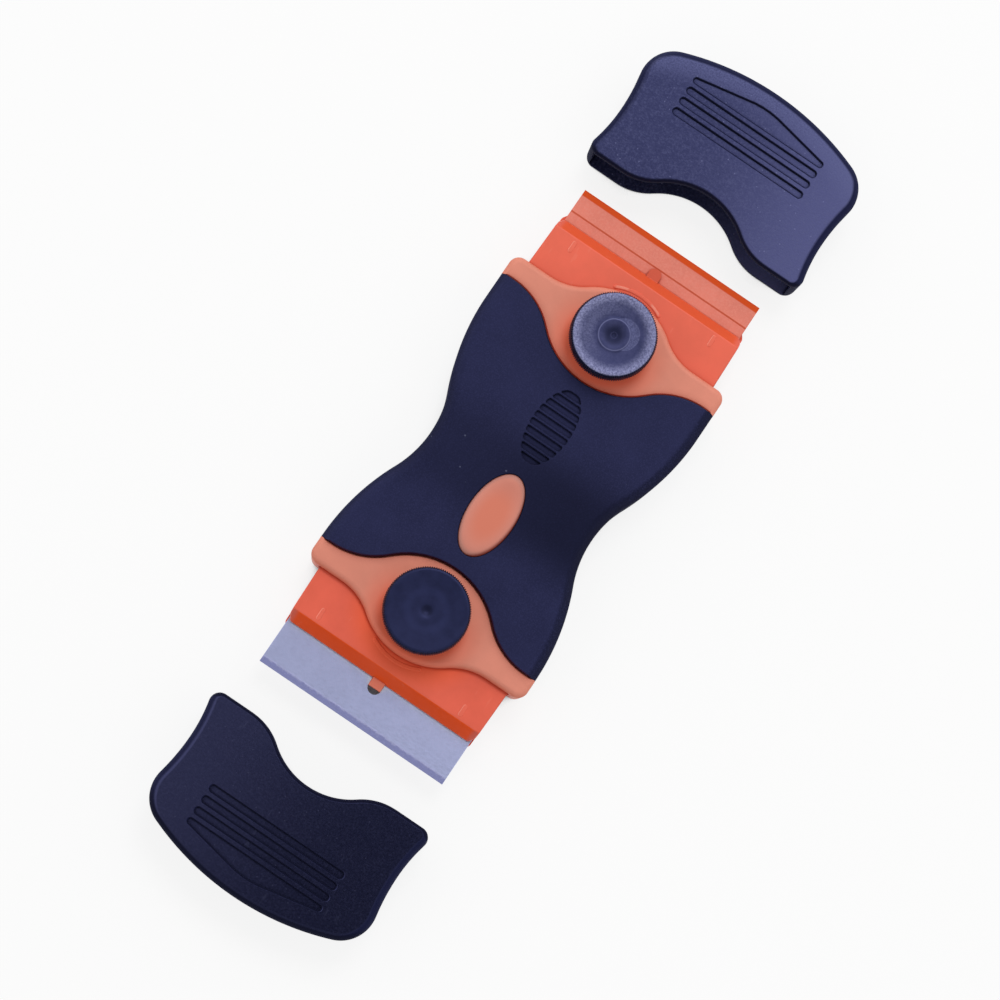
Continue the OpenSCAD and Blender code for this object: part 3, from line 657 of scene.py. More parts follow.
def cap_plastic():
    f, base = Finish("navy_moulded_cap"), colour("cap")
    spark = f.noise(3000, 5, 0.7)
    f.start(spark, base, 0.6, 1.6, 0.35)
    # Painted light: the cap at +Y keeps its tone and the one at -Y is darkened, as lit and shaded copies;
    # lit also weights marks below.
    lit = f.ramp(f.y, -50, 50, 0.2, 1.0)
    f.tone = f.mix(lit, shade(base, 0.2), f.tone)
    # Painted sheen: lighter towards +X on the +Y cap and towards -X on the -Y cap, mostly on the lit cap.
    painted_sheen = f.ramp(f.times(f.x, f.maths("SIGN", f.y)), -18, 22)
    gloss = f.times(f.less(1.0, painted_sheen), f.less(1.0, lit))
    f.paint(f.times(f.maths("POWER", painted_sheen, 1.8), lit), (0.066, 0.069, 0.160))
    # Spark grain, the plastic's own, shown mostly where lit, so partly painted glints.
    grain = f.ramp(f.noise(2500, 3, 0.75), 0.42, 0.72, 0, 0.5)
    f.paint(f.times(grain, lit), (0.08, 0.085, 0.165))
    f.paint(f.scratches(900, 0.18, 28, 0.69), (0.13, 0.14, 0.24), 0.08)
    # Dust specks, shown mostly on the lit cap: partly real dust, partly painted glints.
    f.paint(f.times(f.specks(1300, 0.2, 0.12), lit), (0.2, 0.21, 0.36), 0.5)
    # Painted highlight: a light band just inside the crown's rim, broken up by the spark grain.
    crest_highlight = f.ramp(f.from_point(0, CROWN_MIDDLE), CROWN_RADIUS - 6.5, CROWN_RADIUS - 1.8)
    crest_highlight = f.times(crest_highlight, f.ramp(f.y, 1, 2), f.ramp(spark, 0.36, 0.64, 0.25, 0.9))
    f.paint(crest_highlight, (0.09, 0.096, 0.2))
    # Painted shade: rounded edges and outward faces darkened, a little less on faces turned to -X.
    outward = f.maths("MAXIMUM", f.facing("X"), f.facing("Y"))
    edge = f.maths("MAXIMUM", f.ramp(f.facing_up(), 0.985, 0.8), f.ramp(outward, 0.04, 0.36))
    lee = f.ramp(f.facing("X"), -0.5, 0.0, 0.8, 0.95)
    f.paint(f.times(edge, lee), (0.003, 0.004, 0.022))
    # Painted highlight on the rounding that faces -X, mostly on the -Y cap.
    shine = f.times(f.ramp(f.facing("X"), -0.06, -0.2), f.ramp(f.facing_up(), 0.9, 0.96),
                    f.less(1.2, lit))
    f.paint(shine, (0.05, 0.053, 0.125), 0.6)
    # Painted shade: near black on faces turned to -Y, in recesses, and on the -Y cap's mouth rounding that
    # faces +Y.
    away = f.ramp(f.facing("Y"), -0.1, -0.5)
    inward = f.times(f.ramp(f.facing("Y"), 0.06, 0.35), f.ramp(f.y, 1, -1))
    f.paint(away, PAINTED_SHADE_NAVY, 0.9)
    f.paint(f.crevice(0.8, 0.6), PAINTED_SHADE_NAVY, 0.8)
    f.paint(inward, PAINTED_SHADE_NAVY, 0.9)
    rough = f.plus(f.ramp(spark, 0.3, 0.7, 0.38, 0.48), f.times(edge, 0.5))
    rough = f.plus(rough, f.times(away, 0.3))
    rough = f.less(rough, f.times(gloss, 0.09))
    rough = f.plus(rough, f.times(inward, 0.35))
    return f.close(rough, spark, 0.04, 0.7, Specular_Tint=BLUE_SHEEN, Specular_IOR_Level=0.64)


def core_plastic():
    f, base = Finish("peach_core"), colour("core")
    cloud = f.noise(130, 5, 0.6)
    f.start(cloud, base, 0.95, 1.05)
    radius, past = f.from_bolt(), f.past_bolt()
    # Painted shade: a red shadow round each knob, strongest on its -Y side and deepest right against it.
    near = f.times(f.ramp(radius, 12.5, 7.6), f.ramp(past, 6, -6, 0.15, 0.9))
    f.paint(near, (0.95, 0.21, 0.13))
    knob_contact_shade = f.times(f.ramp(radius, 9.2, 7.8), f.ramp(past, 4, -5))
    f.paint(knob_contact_shade, (0.98, 0.16, 0.08), 0.75)
    # Painted shade: rounded edges darker and redder.
    edge = f.ramp(f.facing_up(), 0.98, 0.4)
    f.paint(edge, (0.70, 0.17, 0.09), 0.45)
    ring = f.from_oval()
    raised = f.ramp(f.z, CORE_TOP, CORE_TOP + 0.2)
    f.paint(raised, (0.67, 0.262, 0.205), 0.9)
    # Painted shading of the oval's dome: deeper orange in the middle, darker towards its +Y end, a greyer
    # rim as painted sheen, and a dark flank facing +X and -Y.
    f.paint(f.times(f.ramp(ring, 1.0, 0.35), raised), (0.70, 0.20, 0.128), 0.85)
    f.paint(f.times(f.ramp(f.y, -7, -1, 0, 0.6), raised), (0.54, 0.185, 0.14))
    f.paint(f.times(f.ramp(ring, 0.84, 0.97), raised), (0.43, 0.23, 0.20), 0.6)
    low_side = f.less(f.times(f.facing("X"), 0.83), f.times(f.facing("Y"), 0.56))
    f.paint(f.times(f.ramp(low_side, 0.2, 0.6), raised), (0.20, 0.02, 0.012), 0.85)
    # Painted shade in seams and crevices: a red glow, weaker on the +Y side of each bolt, and a near-black
    # line on that +Y side; both lighter on rounded edges.
    shut = f.crevice(1.6, 0.72)
    shade_side = f.ramp(past, -3, 3)
    open_edge = f.ramp(edge, 0.0, 0.8, 1.0, 0.45)
    f.paint(f.times(shut, open_edge, f.ramp(shade_side, 0, 1, 1, 0.6)), (0.40, 0.026, 0.012))
    f.paint(f.times(f.ramp(shut, 0.12, 0.55), shade_side, open_edge), (0.07, 0.006, 0.006))
    f.paint(f.specks(520, 0.12, 0.05), (0.45, 0.14, 0.09), 0.25)
    return f.close(f.ramp(cloud, 0.3, 0.7, 0.45, 0.56), f.noise(2600, 4, 0.6), 0.012, 0.5,
                   Specular_Tint=WARM_SHEEN, Specular_IOR_Level=0.4)


def jaw_plastic():
    f, base = Finish("orange_jaw"), colour("jaw")
    cloud = f.noise(140, 5, 0.6)
    f.start(cloud, base, 0.96, 1.05)
    wide, radius, ahead = f.size(f.x), f.from_bolt(), f.ramp(f.y, -1, 1)
    # Painted light on the sloped front bevels: a deeper orange, set brighter on the -Y head, whose bevel
    # faces away from the light.
    slope = f.times(f.ramp(f.facing_up(), 0.92, 0.8), f.ramp(wide, 19.2, 18.2),
                    f.ramp(f.size(f.y), 41, 41.4))
    f.paint(slope, f.mix(ahead, (1.0, 0.098, 0.008), (0.81, 0.106, 0.036)))
    # Painted highlight: light strokes near both ends of the rib on the +Y head.
    rib = f.times(f.band(radius, 9.8, 9.95, 10.2, 10.35), f.band(wide, 2.2, 2.8, 4.4, 4.8),
                  f.ramp(f.y, 0, 1))
    f.paint(rib, (0.95, 0.45, 0.35), 0.4)
    # Painted shade: a deeper, warmer orange on the -Y side of each knob, where its shadow falls.
    near = f.times(f.ramp(radius, 15, 9.5), f.ramp(f.past_bolt(), 0, -5))
    f.paint(near, f.mix(ahead, (1.0, 0.14, 0.054), (0.90, 0.17, 0.085)), 0.75)
    narrow = f.ramp(wide, SLOT_WIDTH / 2 + 0.1, SLOT_WIDTH / 2)
    # Painted shade on the +Y peg where it shows in the blade's slot ahead of the upper jaw.
    peg = f.times(f.ramp(f.y, UPPER_FRONT - 0.2, UPPER_FRONT), narrow)
    f.paint(peg, (0.50, 0.07, 0.035), 0.6)
    far_peg = f.times(f.ramp(f.y, 0.2 - UPPER_FRONT, -UPPER_FRONT), narrow)
    f.paint(far_peg, (0.74, 0.25, 0.17), 0.7)
    f.paint(f.scratches(1100, 0.22, 60, 0.68), (0.9, 0.38, 0.29), 0.08)
    # Painted shade in recesses, in a deep orange-red.
    f.paint(f.crevice(0.8, 0.55), (0.68, 0.058, 0.022), 0.75)
    # Painted highlight on the raised catches, mostly on their sides that face -X.
    pip = f.times(f.ramp(f.z, HEAD_HIGH + 0.01, HEAD_HIGH + 0.05), f.ramp(wide, 13, 13.5),
                  f.ramp(f.facing("X"), 0.0, -0.25, 0.05, 0.5))
    f.paint(pip, (0.98, 0.42, 0.33))
    return f.close(f.ramp(cloud, 0.3, 0.7, 0.36, 0.46), f.noise(2400, 4, 0.6), 0.008, 0.45,
                   Specular_Tint=WARM_SHEEN, Specular_IOR_Level=0.4)


def blade_plastic():
    f, base = Finish("orange_plastic_blade"), colour("plastic_blade")
    cloud = f.noise(160, 5, 0.6)
    f.start(cloud, base, 0.95, 1.06)
    f.paint(f.ramp(f.noise(2600, 3, 0.7), 0.4, 0.7, 0, 0.5), (0.82, 0.30, 0.24))
    f.paint(f.scratches(1500, 0.06, 0, 0.6), shade(base, 0.8), 0.1)
    tip = BLADES["plastic"]["back"] + BLADE_DEPTH
    # Painted shade: a darker line along the small notch where the blade starts to taper.
    line = f.ramp(f.size(f.less(f.y, tip - 4.75)), 0.24, 0.1)
    f.paint(line, (0.55, 0.075, 0.025), 0.8)
    edge = f.ramp(f.y, tip - 1.3, tip - 1.05)
    f.paint(edge, (0.70, 0.083, 0.017))
    # Painted shade in recesses.
    f.paint(f.crevice(0.5), (0.30, 0.022, 0.006), 0.6)
    rough = f.plus(f.ramp(cloud, 0.3, 0.7, 0.5, 0.6), f.times(edge, 0.35))
    return f.close(rough, f.noise(3000, 4, 0.6), 0.01, 0.5,
                   Specular_Tint=WARM_SHEEN, Specular_IOR_Level=0.25)


def blade_steel():
    f, base = Finish("ground_steel_blade"), colour("steel")
    drawn = add(f.tree, "ShaderNodeMapping", {"Vector": f.place, "Scale": (1.0, 3.0, 3.0)})
    lines = f.noise(1500, 4, 0.65, drawn.outputs[0])
    f.start(f.noise(210, 5, 0.65), base, 0.97, 1.03)
    f.paint(f.ramp(lines, 0.4, 0.7, 0, 0.4), shade(base, 0.86))
    # Painted light: the steel lighter towards +X.
    f.paint(f.ramp(f.x, -20, 20, 0, 0.6), shade(base, 1.18))
    tip = -(BLADES["steel"]["back"] + BLADE_DEPTH)
    ragged = f.less(f.noise(1300, 4, 0.7), 0.5)
    along = f.plus(f.y, f.times(ragged, 0.9))
    ground = f.ramp(along, tip + 1.5, tip + 1.15)
    f.paint(ground, (0.345, 0.362, 0.69), 0.85)
    f.paint(f.times(ground, f.ramp(along, tip + 0.9, tip + 1.2)), (0.66, 0.68, 0.94), 0.6)
    flecks = f.ramp(f.noise(2600, 3, 0.7), 0.56, 0.7)
    f.paint(f.times(ground, flecks), (0.55, 0.57, 0.85), 0.6)
    # Painted light: brighter where shut in against the jaw, to cancel the shade the jaw casts on the
    # steel.
    f.paint(f.crevice(1.8, 0.5), (0.78, 0.86, 1.0))
    f.paint(f.specks(260, 0.10, 0.04), shade(base, 0.55), 0.3)
    rough = f.plus(f.ramp(lines, 0.3, 0.7, 0.42, 0.5), f.times(ground, 0.08))
    return f.close(rough, lines, 0.004, 0.4, Metallic=1.0)


def knob_start(name):
    """What both knobs share: a clouded tone, the distance from the axis and a fine grain."""
    f = Finish(name)
    cloud = f.noise(420, 5, 0.65)
    f.start(cloud, colour("knob"), 0.85, 1.15)
    return f, colour("knob"), cloud, f.from_bolt(), f.noise(4200, 4, 0.65)


def knob_smooth():
    f, base, cloud, radius, grain = knob_start("smooth_navy_knob")
    f.paint(f.band(radius, 2.2, 3.3, 3.5, 4.6), shade(base, 1.8), 0.4)
    # Painted shade in the dimple.
    f.paint(f.ramp(radius, 1.3, 0.7, 0, 0.8), shade(base, 0.35))
    # Painted shade on the toothed flank.
    f.paint(f.ramp(radius, 7.3, 7.5), shade(base, 0.4), 0.7)
    return f.close(f.ramp(cloud, 0.3, 0.7, 0.4, 0.5), grain, 0.02, 0.5,
                   Specular_Tint=BLUE_SHEEN, Specular_IOR_Level=0.45)


def knob_worn_sheened():
    f, base, _, radius, grain = knob_start("worn_navy_knob")
    top = f.ramp(f.z, KNOB_HIGH - 1.6, KNOB_HIGH - 1.2)
    # A pale haze over the top: partly scuffing, partly painted sheen.
    haze = f.noise(700, 5, 0.7)
    f.paint(f.ramp(haze, 0.3, 0.7, 0.3, 0.75), (0.06, 0.064, 0.15))
    # The light rim: partly scuffing, speckled, and partly painted sheen, which reaches further in on the
    # -X side.
    sheen_side = f.times(f.ramp(f.x, 3, -6, 0, 0.3), f.ramp(radius, 3.0, 4.4))
    rim = f.maths("MAXIMUM", f.ramp(radius, 4.9, 7.2), sheen_side)
    speck = f.ramp(f.noise(2800, 4, 0.8), 0.36, 0.66, 0.3, 1.0)
    f.paint(f.times(rim, top, f.ramp(radius, 7.5, 7.3), speck), (0.33, 0.34, 0.55))
    # Painted highlight on the edge of the hub.
    f.paint(f.band(radius, 2.65, 2.78, 2.86, 2.98), (0.19, 0.20, 0.36), 0.5)
    flash = f.ramp(f.from_point(FLASH[0], BOLT_PLACE + FLASH[1]), 3.0, 2.8)
    streaks = f.ramp(f.noise(3600, 3, 0.7), 0.4, 0.64, 0.2, 0.6)
    f.paint(f.times(flash, f.ramp(radius, 2.9, 3.05), top, streaks), (0.16, 0.17, 0.32))
    # Painted shade in the dimple.
    f.paint(f.times(f.ramp(radius, 2.3, 0.9), top), shade(base, 0.5), 0.9)
    f.paint(f.band(radius, 0.4, 0.5, 0.58, 0.68), (0.05, 0.053, 0.12), 0.5)
    # Painted shade on the toothed flank.
    f.paint(f.ramp(radius, 7.3, 7.5), shade(base, 0.4), 0.8)
    return f.close(f.ramp(haze, 0.3, 0.7, 0.45, 0.58), grain, 0.03, 0.6,
                   Specular_Tint=BLUE_SHEEN, Specular_IOR_Level=0.5)


def plated_metal(name, base, scale):
    f = Finish(name)
    turned = f.noise(scale, 5, 0.65)
    f.start(turned, base, 0.8, 1.0, 0.35, 0.65)
    f.paint(f.specks(900, 0.14, 0.1), shade(base, 0.45), 0.4)
    return f.close(f.ramp(turned, 0.3, 0.7, 0.24, 0.42), turned, 0.01, 0.4, Metallic=1.0)


class SCRAPER_OT_stage(bpy.types.Operator):
    """Sets the floor, the light and the camera"""

    bl_idname = "scraper.stage"
    bl_label = "Stage"

    def execute(self, context):
        scene = context.scene
        scene.view_settings.view_transform = "Standard"
        self.room(scene)
        self.floor(context)
        lamp = bpy.data.lights.new("key_lamp", "AREA")
        lamp.shape = "SQUARE"
        lamp.size = LAMP_SIZE
        lamp.energy = LAMP_POWER
        turn = (-Vector(LAMP_PLACE)).to_track_quat("-Z", "Y").to_euler()
        self.put(scene, "key_lamp", lamp, LAMP_PLACE, turn)
        lens = bpy.data.cameras.new("camera")
        lens.sensor_width = SENSOR_WIDTH
        lens.lens = FOCAL_LENGTH
        turn = Euler([math.radians(a) for a in CAMERA_TURN])
        scene.camera = self.put(scene, "camera", lens, CAMERA_PLACE, turn)
        return {"FINISHED"}

    @staticmethod
    def put(scene, name, data, place, turn):
        obj = bpy.data.objects.new(name, data)
        scene.collection.objects.link(obj)
        obj.location = place
        obj.rotation_euler = turn
        return obj

    @staticmethod
    def room(scene):
        """Soft light from all round, weaker from straight above and stronger from one side."""
        world = bpy.data.worlds.new("soft_room")
        scene.world = world
        tree = empty_tree(world)
        way = add(tree, "ShaderNodeTexCoord").outputs["Generated"]
        up = add(tree, "ShaderNodeSeparateXYZ", {"Vector": way}).outputs["Z"]
        side = add(tree, "ShaderNodeVectorMath", {0: way, 1: (-0.40, 0.87, 0.28)},
                   operation="DOT_PRODUCT").outputs["Value"]
        strength = maths(tree, "MULTIPLY", remap(tree, up, 0.80, 0.95, 0.80, 0.05),
                         remap(tree, side, -1, 1, 0.68, 1.32, smooth=False))
        light = add(tree, "ShaderNodeBackground", {"Color": (1, 1, 1, 1), "Strength": strength})
        add(tree, "ShaderNodeOutputWorld", {"Surface": light.outputs[0]})

    @staticmethod
    def floor(context):
        """White floor that keeps the shade close to the pieces."""
        bpy.ops.object.select_all(action="DESELECT")
        bpy.ops.mesh.primitive_grid_add(x_subdivisions=8, y_subdivisions=8, size=6)
        floor = context.object
        floor.name = "floor"
        for vertex in floor.data.vertices:
            vertex.co.z = -0.1 * MM
        paper = bpy.data.materials.new("white_paper")
        tree = empty_tree(paper)
        path = add(tree, "ShaderNodeLightPath")
        seen = maths(tree, "MAXIMUM", path.outputs["Is Camera Ray"],
                     maths(tree, "MAXIMUM", path.outputs["Is Glossy Ray"],
                           path.outputs["Is Transmission Ray"]))
        cloth = add(tree, "ShaderNodeBsdfDiffuse", {"Color": (0.9, 0.9, 0.9, 1)})
        open_sky = add(tree, "ShaderNodeAmbientOcclusion", {"Distance": 12 * MM}, samples=16)
        glow = add(tree, "ShaderNodeEmission",
                   {"Color": (1, 1, 1, 1),
                    "Strength": remap(tree, open_sky.outputs["AO"], 0.2, 0.47, 0.02, 1.0)})
        mix = add(tree, "ShaderNodeMixShader",
                  {0: maths(tree, "MULTIPLY", seen, 0.85), 1: cloth.outputs[0], 2: glow.outputs[0]})
        add(tree, "ShaderNodeOutputMaterial", {"Surface": mix.outputs[0]})
        floor.data.materials.append(paper)


class SCRAPER_OT_core(bpy.types.Operator):
    """Builds the core: two collars, the web through the grip and the oval"""

    bl_idname = "scraper.core"
    bl_label = "Core"

    def execute(self, context):
        s = sizes()
        core = rounded_plate("core", collar_outline(0.3), 0, CORE_TOP, s.collar_rounding / MM)
        far = copy_of(core, "far_collar")
        turn_half(far)
        combine(core, far, "UNION")
        combine(core, plate("web", web_outline(WEB_PLAY), WEB_LOW + WEB_PLAY, WEB_HIGH - WEB_PLAY),
                "UNION")
        combine(core, self.dome(s), "UNION")
        for _, way in ENDS:
            self.clamp_place(core, way)
        clear_flats(core, 0.75)
        soften(core, lambda p: p.z > SEAT_HIGH - 0.1 and abs(abs(p.y) - BOLT_PLACE) < 6, 0.15)
        soften(core, lambda p: abs(p.y) > COLLAR_REACH - 0.2 and 1.5 < p.z < 9.5, 0.18)
        settle(core, core_plastic(), "handle", "handle_core")
        return {"FINISHED"}

    @staticmethod
    def clamp_place(core, way):
        """Cuts the pocket of one head, and makes the place of its clamp."""
        for half, start in ((TONGUE_HALF, TONGUE_END), (HEAD_HALF, HEAD_STEP)):
            half += POCKET_SIDE_PLAY
            low, high = sorted((way * (start - POCKET_END_PLAY), way * (COLLAR_REACH + 8)))
            combine(core, block("pocket", (-half, low, POCKET_LOW), (half, high, POCKET_HIGH)))
        axis = (0, way * BOLT_PLACE)
        hex_radius = HEX_FLATS / 2 / math.cos(math.pi / 6) + HEX_PLAY
        combine(core, plate("boss", circle(BOSS_RADIUS, 64, axis), BOSS_LOW, BOSS_HIGH), "UNION")
        combine(core, plate("seat", circle(SEAT_RADIUS, 64, axis), SEAT_LOW, SEAT_HIGH), "UNION")
        combine(core, plate("bolt_way", circle(BOLT_WAY, 48, axis), -1, 14))
        combine(core, plate("hex_way", circle(hex_radius, 6, axis, math.pi / 6), -1, HEX_DEPTH))

    @staticmethod
    def dome(s):
        """The oval, rounded over to a low crown."""
        long, wide = s.oval_length / MM - 2 * WEB_PLAY, s.oval_width / MM - 2 * WEB_PLAY
        rim, crown = GRIP_TOP - DOME_SINK, GRIP_TOP + DOME_RISE
        turns = [math.pi / 2 * i / 8 for i in range(9)]
        levels = [(0, WEB_HIGH - 0.5)] + [
            (DOME_SHOULDER * (1 - math.cos(a)), rim + (crown - rim) * math.sin(a)) for a in turns]
        return loft("oval", [[(x, y, z) for x, y, _ in oval(long - 2 * d, wide - 2 * d, OVAL_PLACE)]
                             for d, z in levels])


class SCRAPER_OT_grip(bpy.types.Operator):
    """Builds the rubber grip with its oval window and ribbed pad"""

    bl_idname = "scraper.grip"
    bl_label = "Grip"

    def execute(self, context):
        s = sizes()
        rounding = s.grip_rounding / MM
        grip = rounded_plate("grip", grip_outline(0.35 / rounding), 0, GRIP_TOP, rounding, 9)
        combine(grip, plate("web_way", web_outline(0), WEB_LOW, WEB_HIGH))
        window = oval(s.oval_length / MM, s.oval_width / MM, OVAL_PLACE)
        combine(grip, plate("window", window, WEB_HIGH - 1, GRIP_TOP + 1))
        combine(grip, self.pad(s))
        soften(grip, lambda p: p.z > GRIP_TOP - 0.05 and abs(p.x) < 5 and abs(p.y) < 19, 0.16, 3)
        settle(grip, grip_rubber(), "handle", "grip_sleeve")
        return {"FINISHED"}

    @staticmethod
    def pad(s):
        """Cutters for the pad: bands across an oval, each with rounded corners."""
        pitch = PAD_LENGTH / s.pad_grooves
        cutters = []
        for i in range(s.pad_grooves):
            low = -PAD_LENGTH / 2 + i * pitch + PAD_LAND / 2
            high = low + pitch - PAD_LAND
            right = []
            for k in range(13):
                y = low + (high - low) * k / 12
                x = PAD_WIDTH / 2 * math.sqrt(1 - (2 * y / PAD_LENGTH) ** 2)
                near = min(y - low, high - y)
                if near < PAD_CORNER:
                    x -= PAD_CORNER - math.sqrt(max(0.0, PAD_CORNER ** 2 - (PAD_CORNER - near) ** 2))
                right.append((x, y + PAD_PLACE, 1))
            cutters.append(plate("groove", both_sides(right), GRIP_TOP - s.pad_depth / MM, GRIP_TOP + 1))
        return join(*cutters)


class SCRAPER_OT_jaws(bpy.types.Operator):
    """Builds the upper and lower jaws of both heads"""

    bl_idname = "scraper.jaws"
    bl_label = "Jaws"

    def execute(self, context):
        finish = jaw_plastic()
        for end, way in ENDS:
            for which, jaw in (("upper", self.upper(end)), ("lower", self.lower(end))):
                settle(jaw, finish, f"{end}_head", f"{end}_{which}_jaw", way, 40)
        return {"FINISHED"}

    @staticmethod
    def plan(front):
        return both_sides([(TONGUE_HALF, TONGUE_END, 1), (TONGUE_HALF, HEAD_STEP, 1),
                           (HEAD_HALF, HEAD_STEP, 1), (HEAD_HALF, COLLAR_REACH, 1),
                           (HEAD_FRONT_HALF, front - CORNER_LENGTH, 1),
                           (HEAD_FRONT_HALF - CORNER_WIDTH, front, 1)])

    @staticmethod
    def slice_front(jaw, front, high, drop):
        """Cuts the long bevel along the front."""
        sign = 1 if high > HEAD_MIDDLE else -1
        outward = Vector((0, drop, sign * JAW_BEVEL)).normalized()
        start = (0, (front - JAW_BEVEL) * MM, high * MM)
        on_whole(jaw, lambda: bpy.ops.mesh.bisect(plane_co=start, plane_no=outward, use_fill=True,
                                                  clear_outer=True), face_outward)

    @staticmethod
    def tongue_way(half):
        """Outline of the slot that lets the tongue straddle the bolt."""
        return ([(half, TONGUE_END - 1, 1)] + arc((0, BOLT_PLACE), half, 0, 180, 1, True)
                + [(-half, TONGUE_END - 1, 1)])

    def upper(self, end):
        blade = BLADES[end]
        rest = HEAD_MIDDLE + blade["thick"] / 2
        jaw = plate(f"{end}_upper_jaw_dressed", self.plan(UPPER_FRONT), HEAD_MIDDLE, HEAD_HIGH)
        self.slice_front(jaw, UPPER_FRONT, HEAD_HIGH, HEAD_HIGH - rest - JAW_LIP)
        combine(jaw, block("blade_seat", (-25, blade["back"] - PEG_GAP, 4), (25, 50, rest)))
        soften(jaw, lambda p: p.z > rest + 0.1, JAW_EDGE, 3, 20)
        combine(jaw, plate("bolt_slot", self.tongue_way(BOLT_WAY), 4, 12))
        start = blade["back"] + BLADE_DEPTH / 2 - blade["slot"] / 2
        combine(jaw, block("peg_way", (-SLOT_WIDTH / 2, start, 4),
                           (SLOT_WIDTH / 2, 50, rest + PEG_RISE + PEG_GAP)))
        clear_flats(jaw)
        return join(jaw, self.rib(), self.catch(-CATCH_PLACE), self.catch(CATCH_PLACE))

    @staticmethod
    def rib():
        """Raised arc in front of the knob."""
        start, end, middle = 90 - RIB_ANGLE, 90 + RIB_ANGLE, (0, BOLT_PLACE)
        right, left = ((RIB_RADIUS * math.cos(math.radians(a)),
                        BOLT_PLACE + RIB_RADIUS * math.sin(math.radians(a))) for a in (start, end))
        outline = (arc(middle, RIB_RADIUS + RIB_HALF, start, end) + arc(left, RIB_HALF, end, end + 180)
                   + arc(middle, RIB_RADIUS - RIB_HALF, end, start)
                   + arc(right, RIB_HALF, start + 180, start + 360))
        return rounded_plate("rib", outline, HEAD_HIGH - SUNK, HEAD_HIGH + RIB_RISE, SUNK_EDGE, 5)

    @staticmethod
    def catch(place):
        """Low pip that a cap clicks over."""
        middle = UPPER_FRONT - JAW_BEVEL - CATCH_SETBACK
        pip = stadium(CATCH_HALF_LENGTH, CATCH_HALF_WIDTH)
        outline = [(place - y, middle + x, 1) for x, y, _ in pip]
        return rounded_plate("catch", outline, HEAD_HIGH - SUNK, HEAD_HIGH + CATCH_RISE, SUNK_EDGE, 5)

    def lower(self, end):
        blade = BLADES[end]
        rest = HEAD_MIDDLE - blade["thick"] / 2
        middle = blade["back"] + BLADE_DEPTH / 2
        jaw = plate(f"{end}_lower_jaw_dressed", self.plan(LOWER_FRONT), HEAD_LOW, HEAD_MIDDLE)
        self.slice_front(jaw, LOWER_FRONT, HEAD_LOW, JAW_DROP)
        soften(jaw, lambda p: p.z < HEAD_MIDDLE - 0.1, JAW_EDGE, 3, 20)
        combine(jaw, block("blade_seat", (-25, blade["back"] - PEG_GAP, rest), (25, 50, 8)))
        combine(jaw, plate("boss_slot", self.tongue_way(BOSS_WAY), 0, 8))
        slot = slot_outline(blade["slot"] / 2 - PEG_PLAY, SLOT_WIDTH / 2 - PEG_PLAY, middle)
        peg = plate("peg", slot, rest - 0.5, rest + blade["thick"] + PEG_RISE)
        if end == "steel":
            combine(peg, block("peg_end", (-5, LOWER_FRONT - 0.02, 0), (5, 60, 12)))
        combine(jaw, peg, "UNION")
        clear_flats(jaw)
        return jaw


class SCRAPER_OT_blades(bpy.types.Operator):
    """Builds the plastic blade and the steel blade"""

    bl_idname = "scraper.blades"
    bl_label = "Blades"

    def execute(self, context):
        finishes = {"plastic": blade_plastic(), "steel": blade_steel()}
        for end, way in ENDS:
            blade = BLADES[end]
            half, back, tip = blade["half"], blade["back"], blade["back"] + BLADE_DEPTH
            upper = self.upper_line(end, back, tip, blade["thick"] / 2)
            ring = ([(-half, y, HEAD_MIDDLE - z) for y, z in upper]
                    + [(-half, y, HEAD_MIDDLE + z) for y, z in reversed(upper)])
            piece = prism(f"{end}_blade_dressed", ring, (2 * half, 0, 0))
            hole = slot_outline(blade["slot"] / 2, SLOT_WIDTH / 2, (back + tip) / 2)
            combine(piece, plate("slot", hole, 2, 9))
            soften(piece, lambda p: abs(abs(p.x) - half) < 0.01 and abs(p.z - HEAD_MIDDLE) > 0.1,
                   blade["corner"], 2, 60)
            settle(piece, finishes[end], f"{end}_head", f"{end}_blade", way, 5)
        return {"FINISHED"}

    @staticmethod
    def upper_line(end, back, tip, full):
        """Places along Y, and heights over the blade's middle, of its upper side."""
        if end == "steel":
            return [(back, full), (tip - 1.2, full), (tip, 0.03)]
        front = [(tip - 4.92, full), (tip - 4.8, full - 0.06), (tip - 4.68, full - 0.02),
                 (tip - 1.1, 0.25), (tip, 0.06)]
        return [(back + tip - y, z) for y, z in reversed(front)] + front


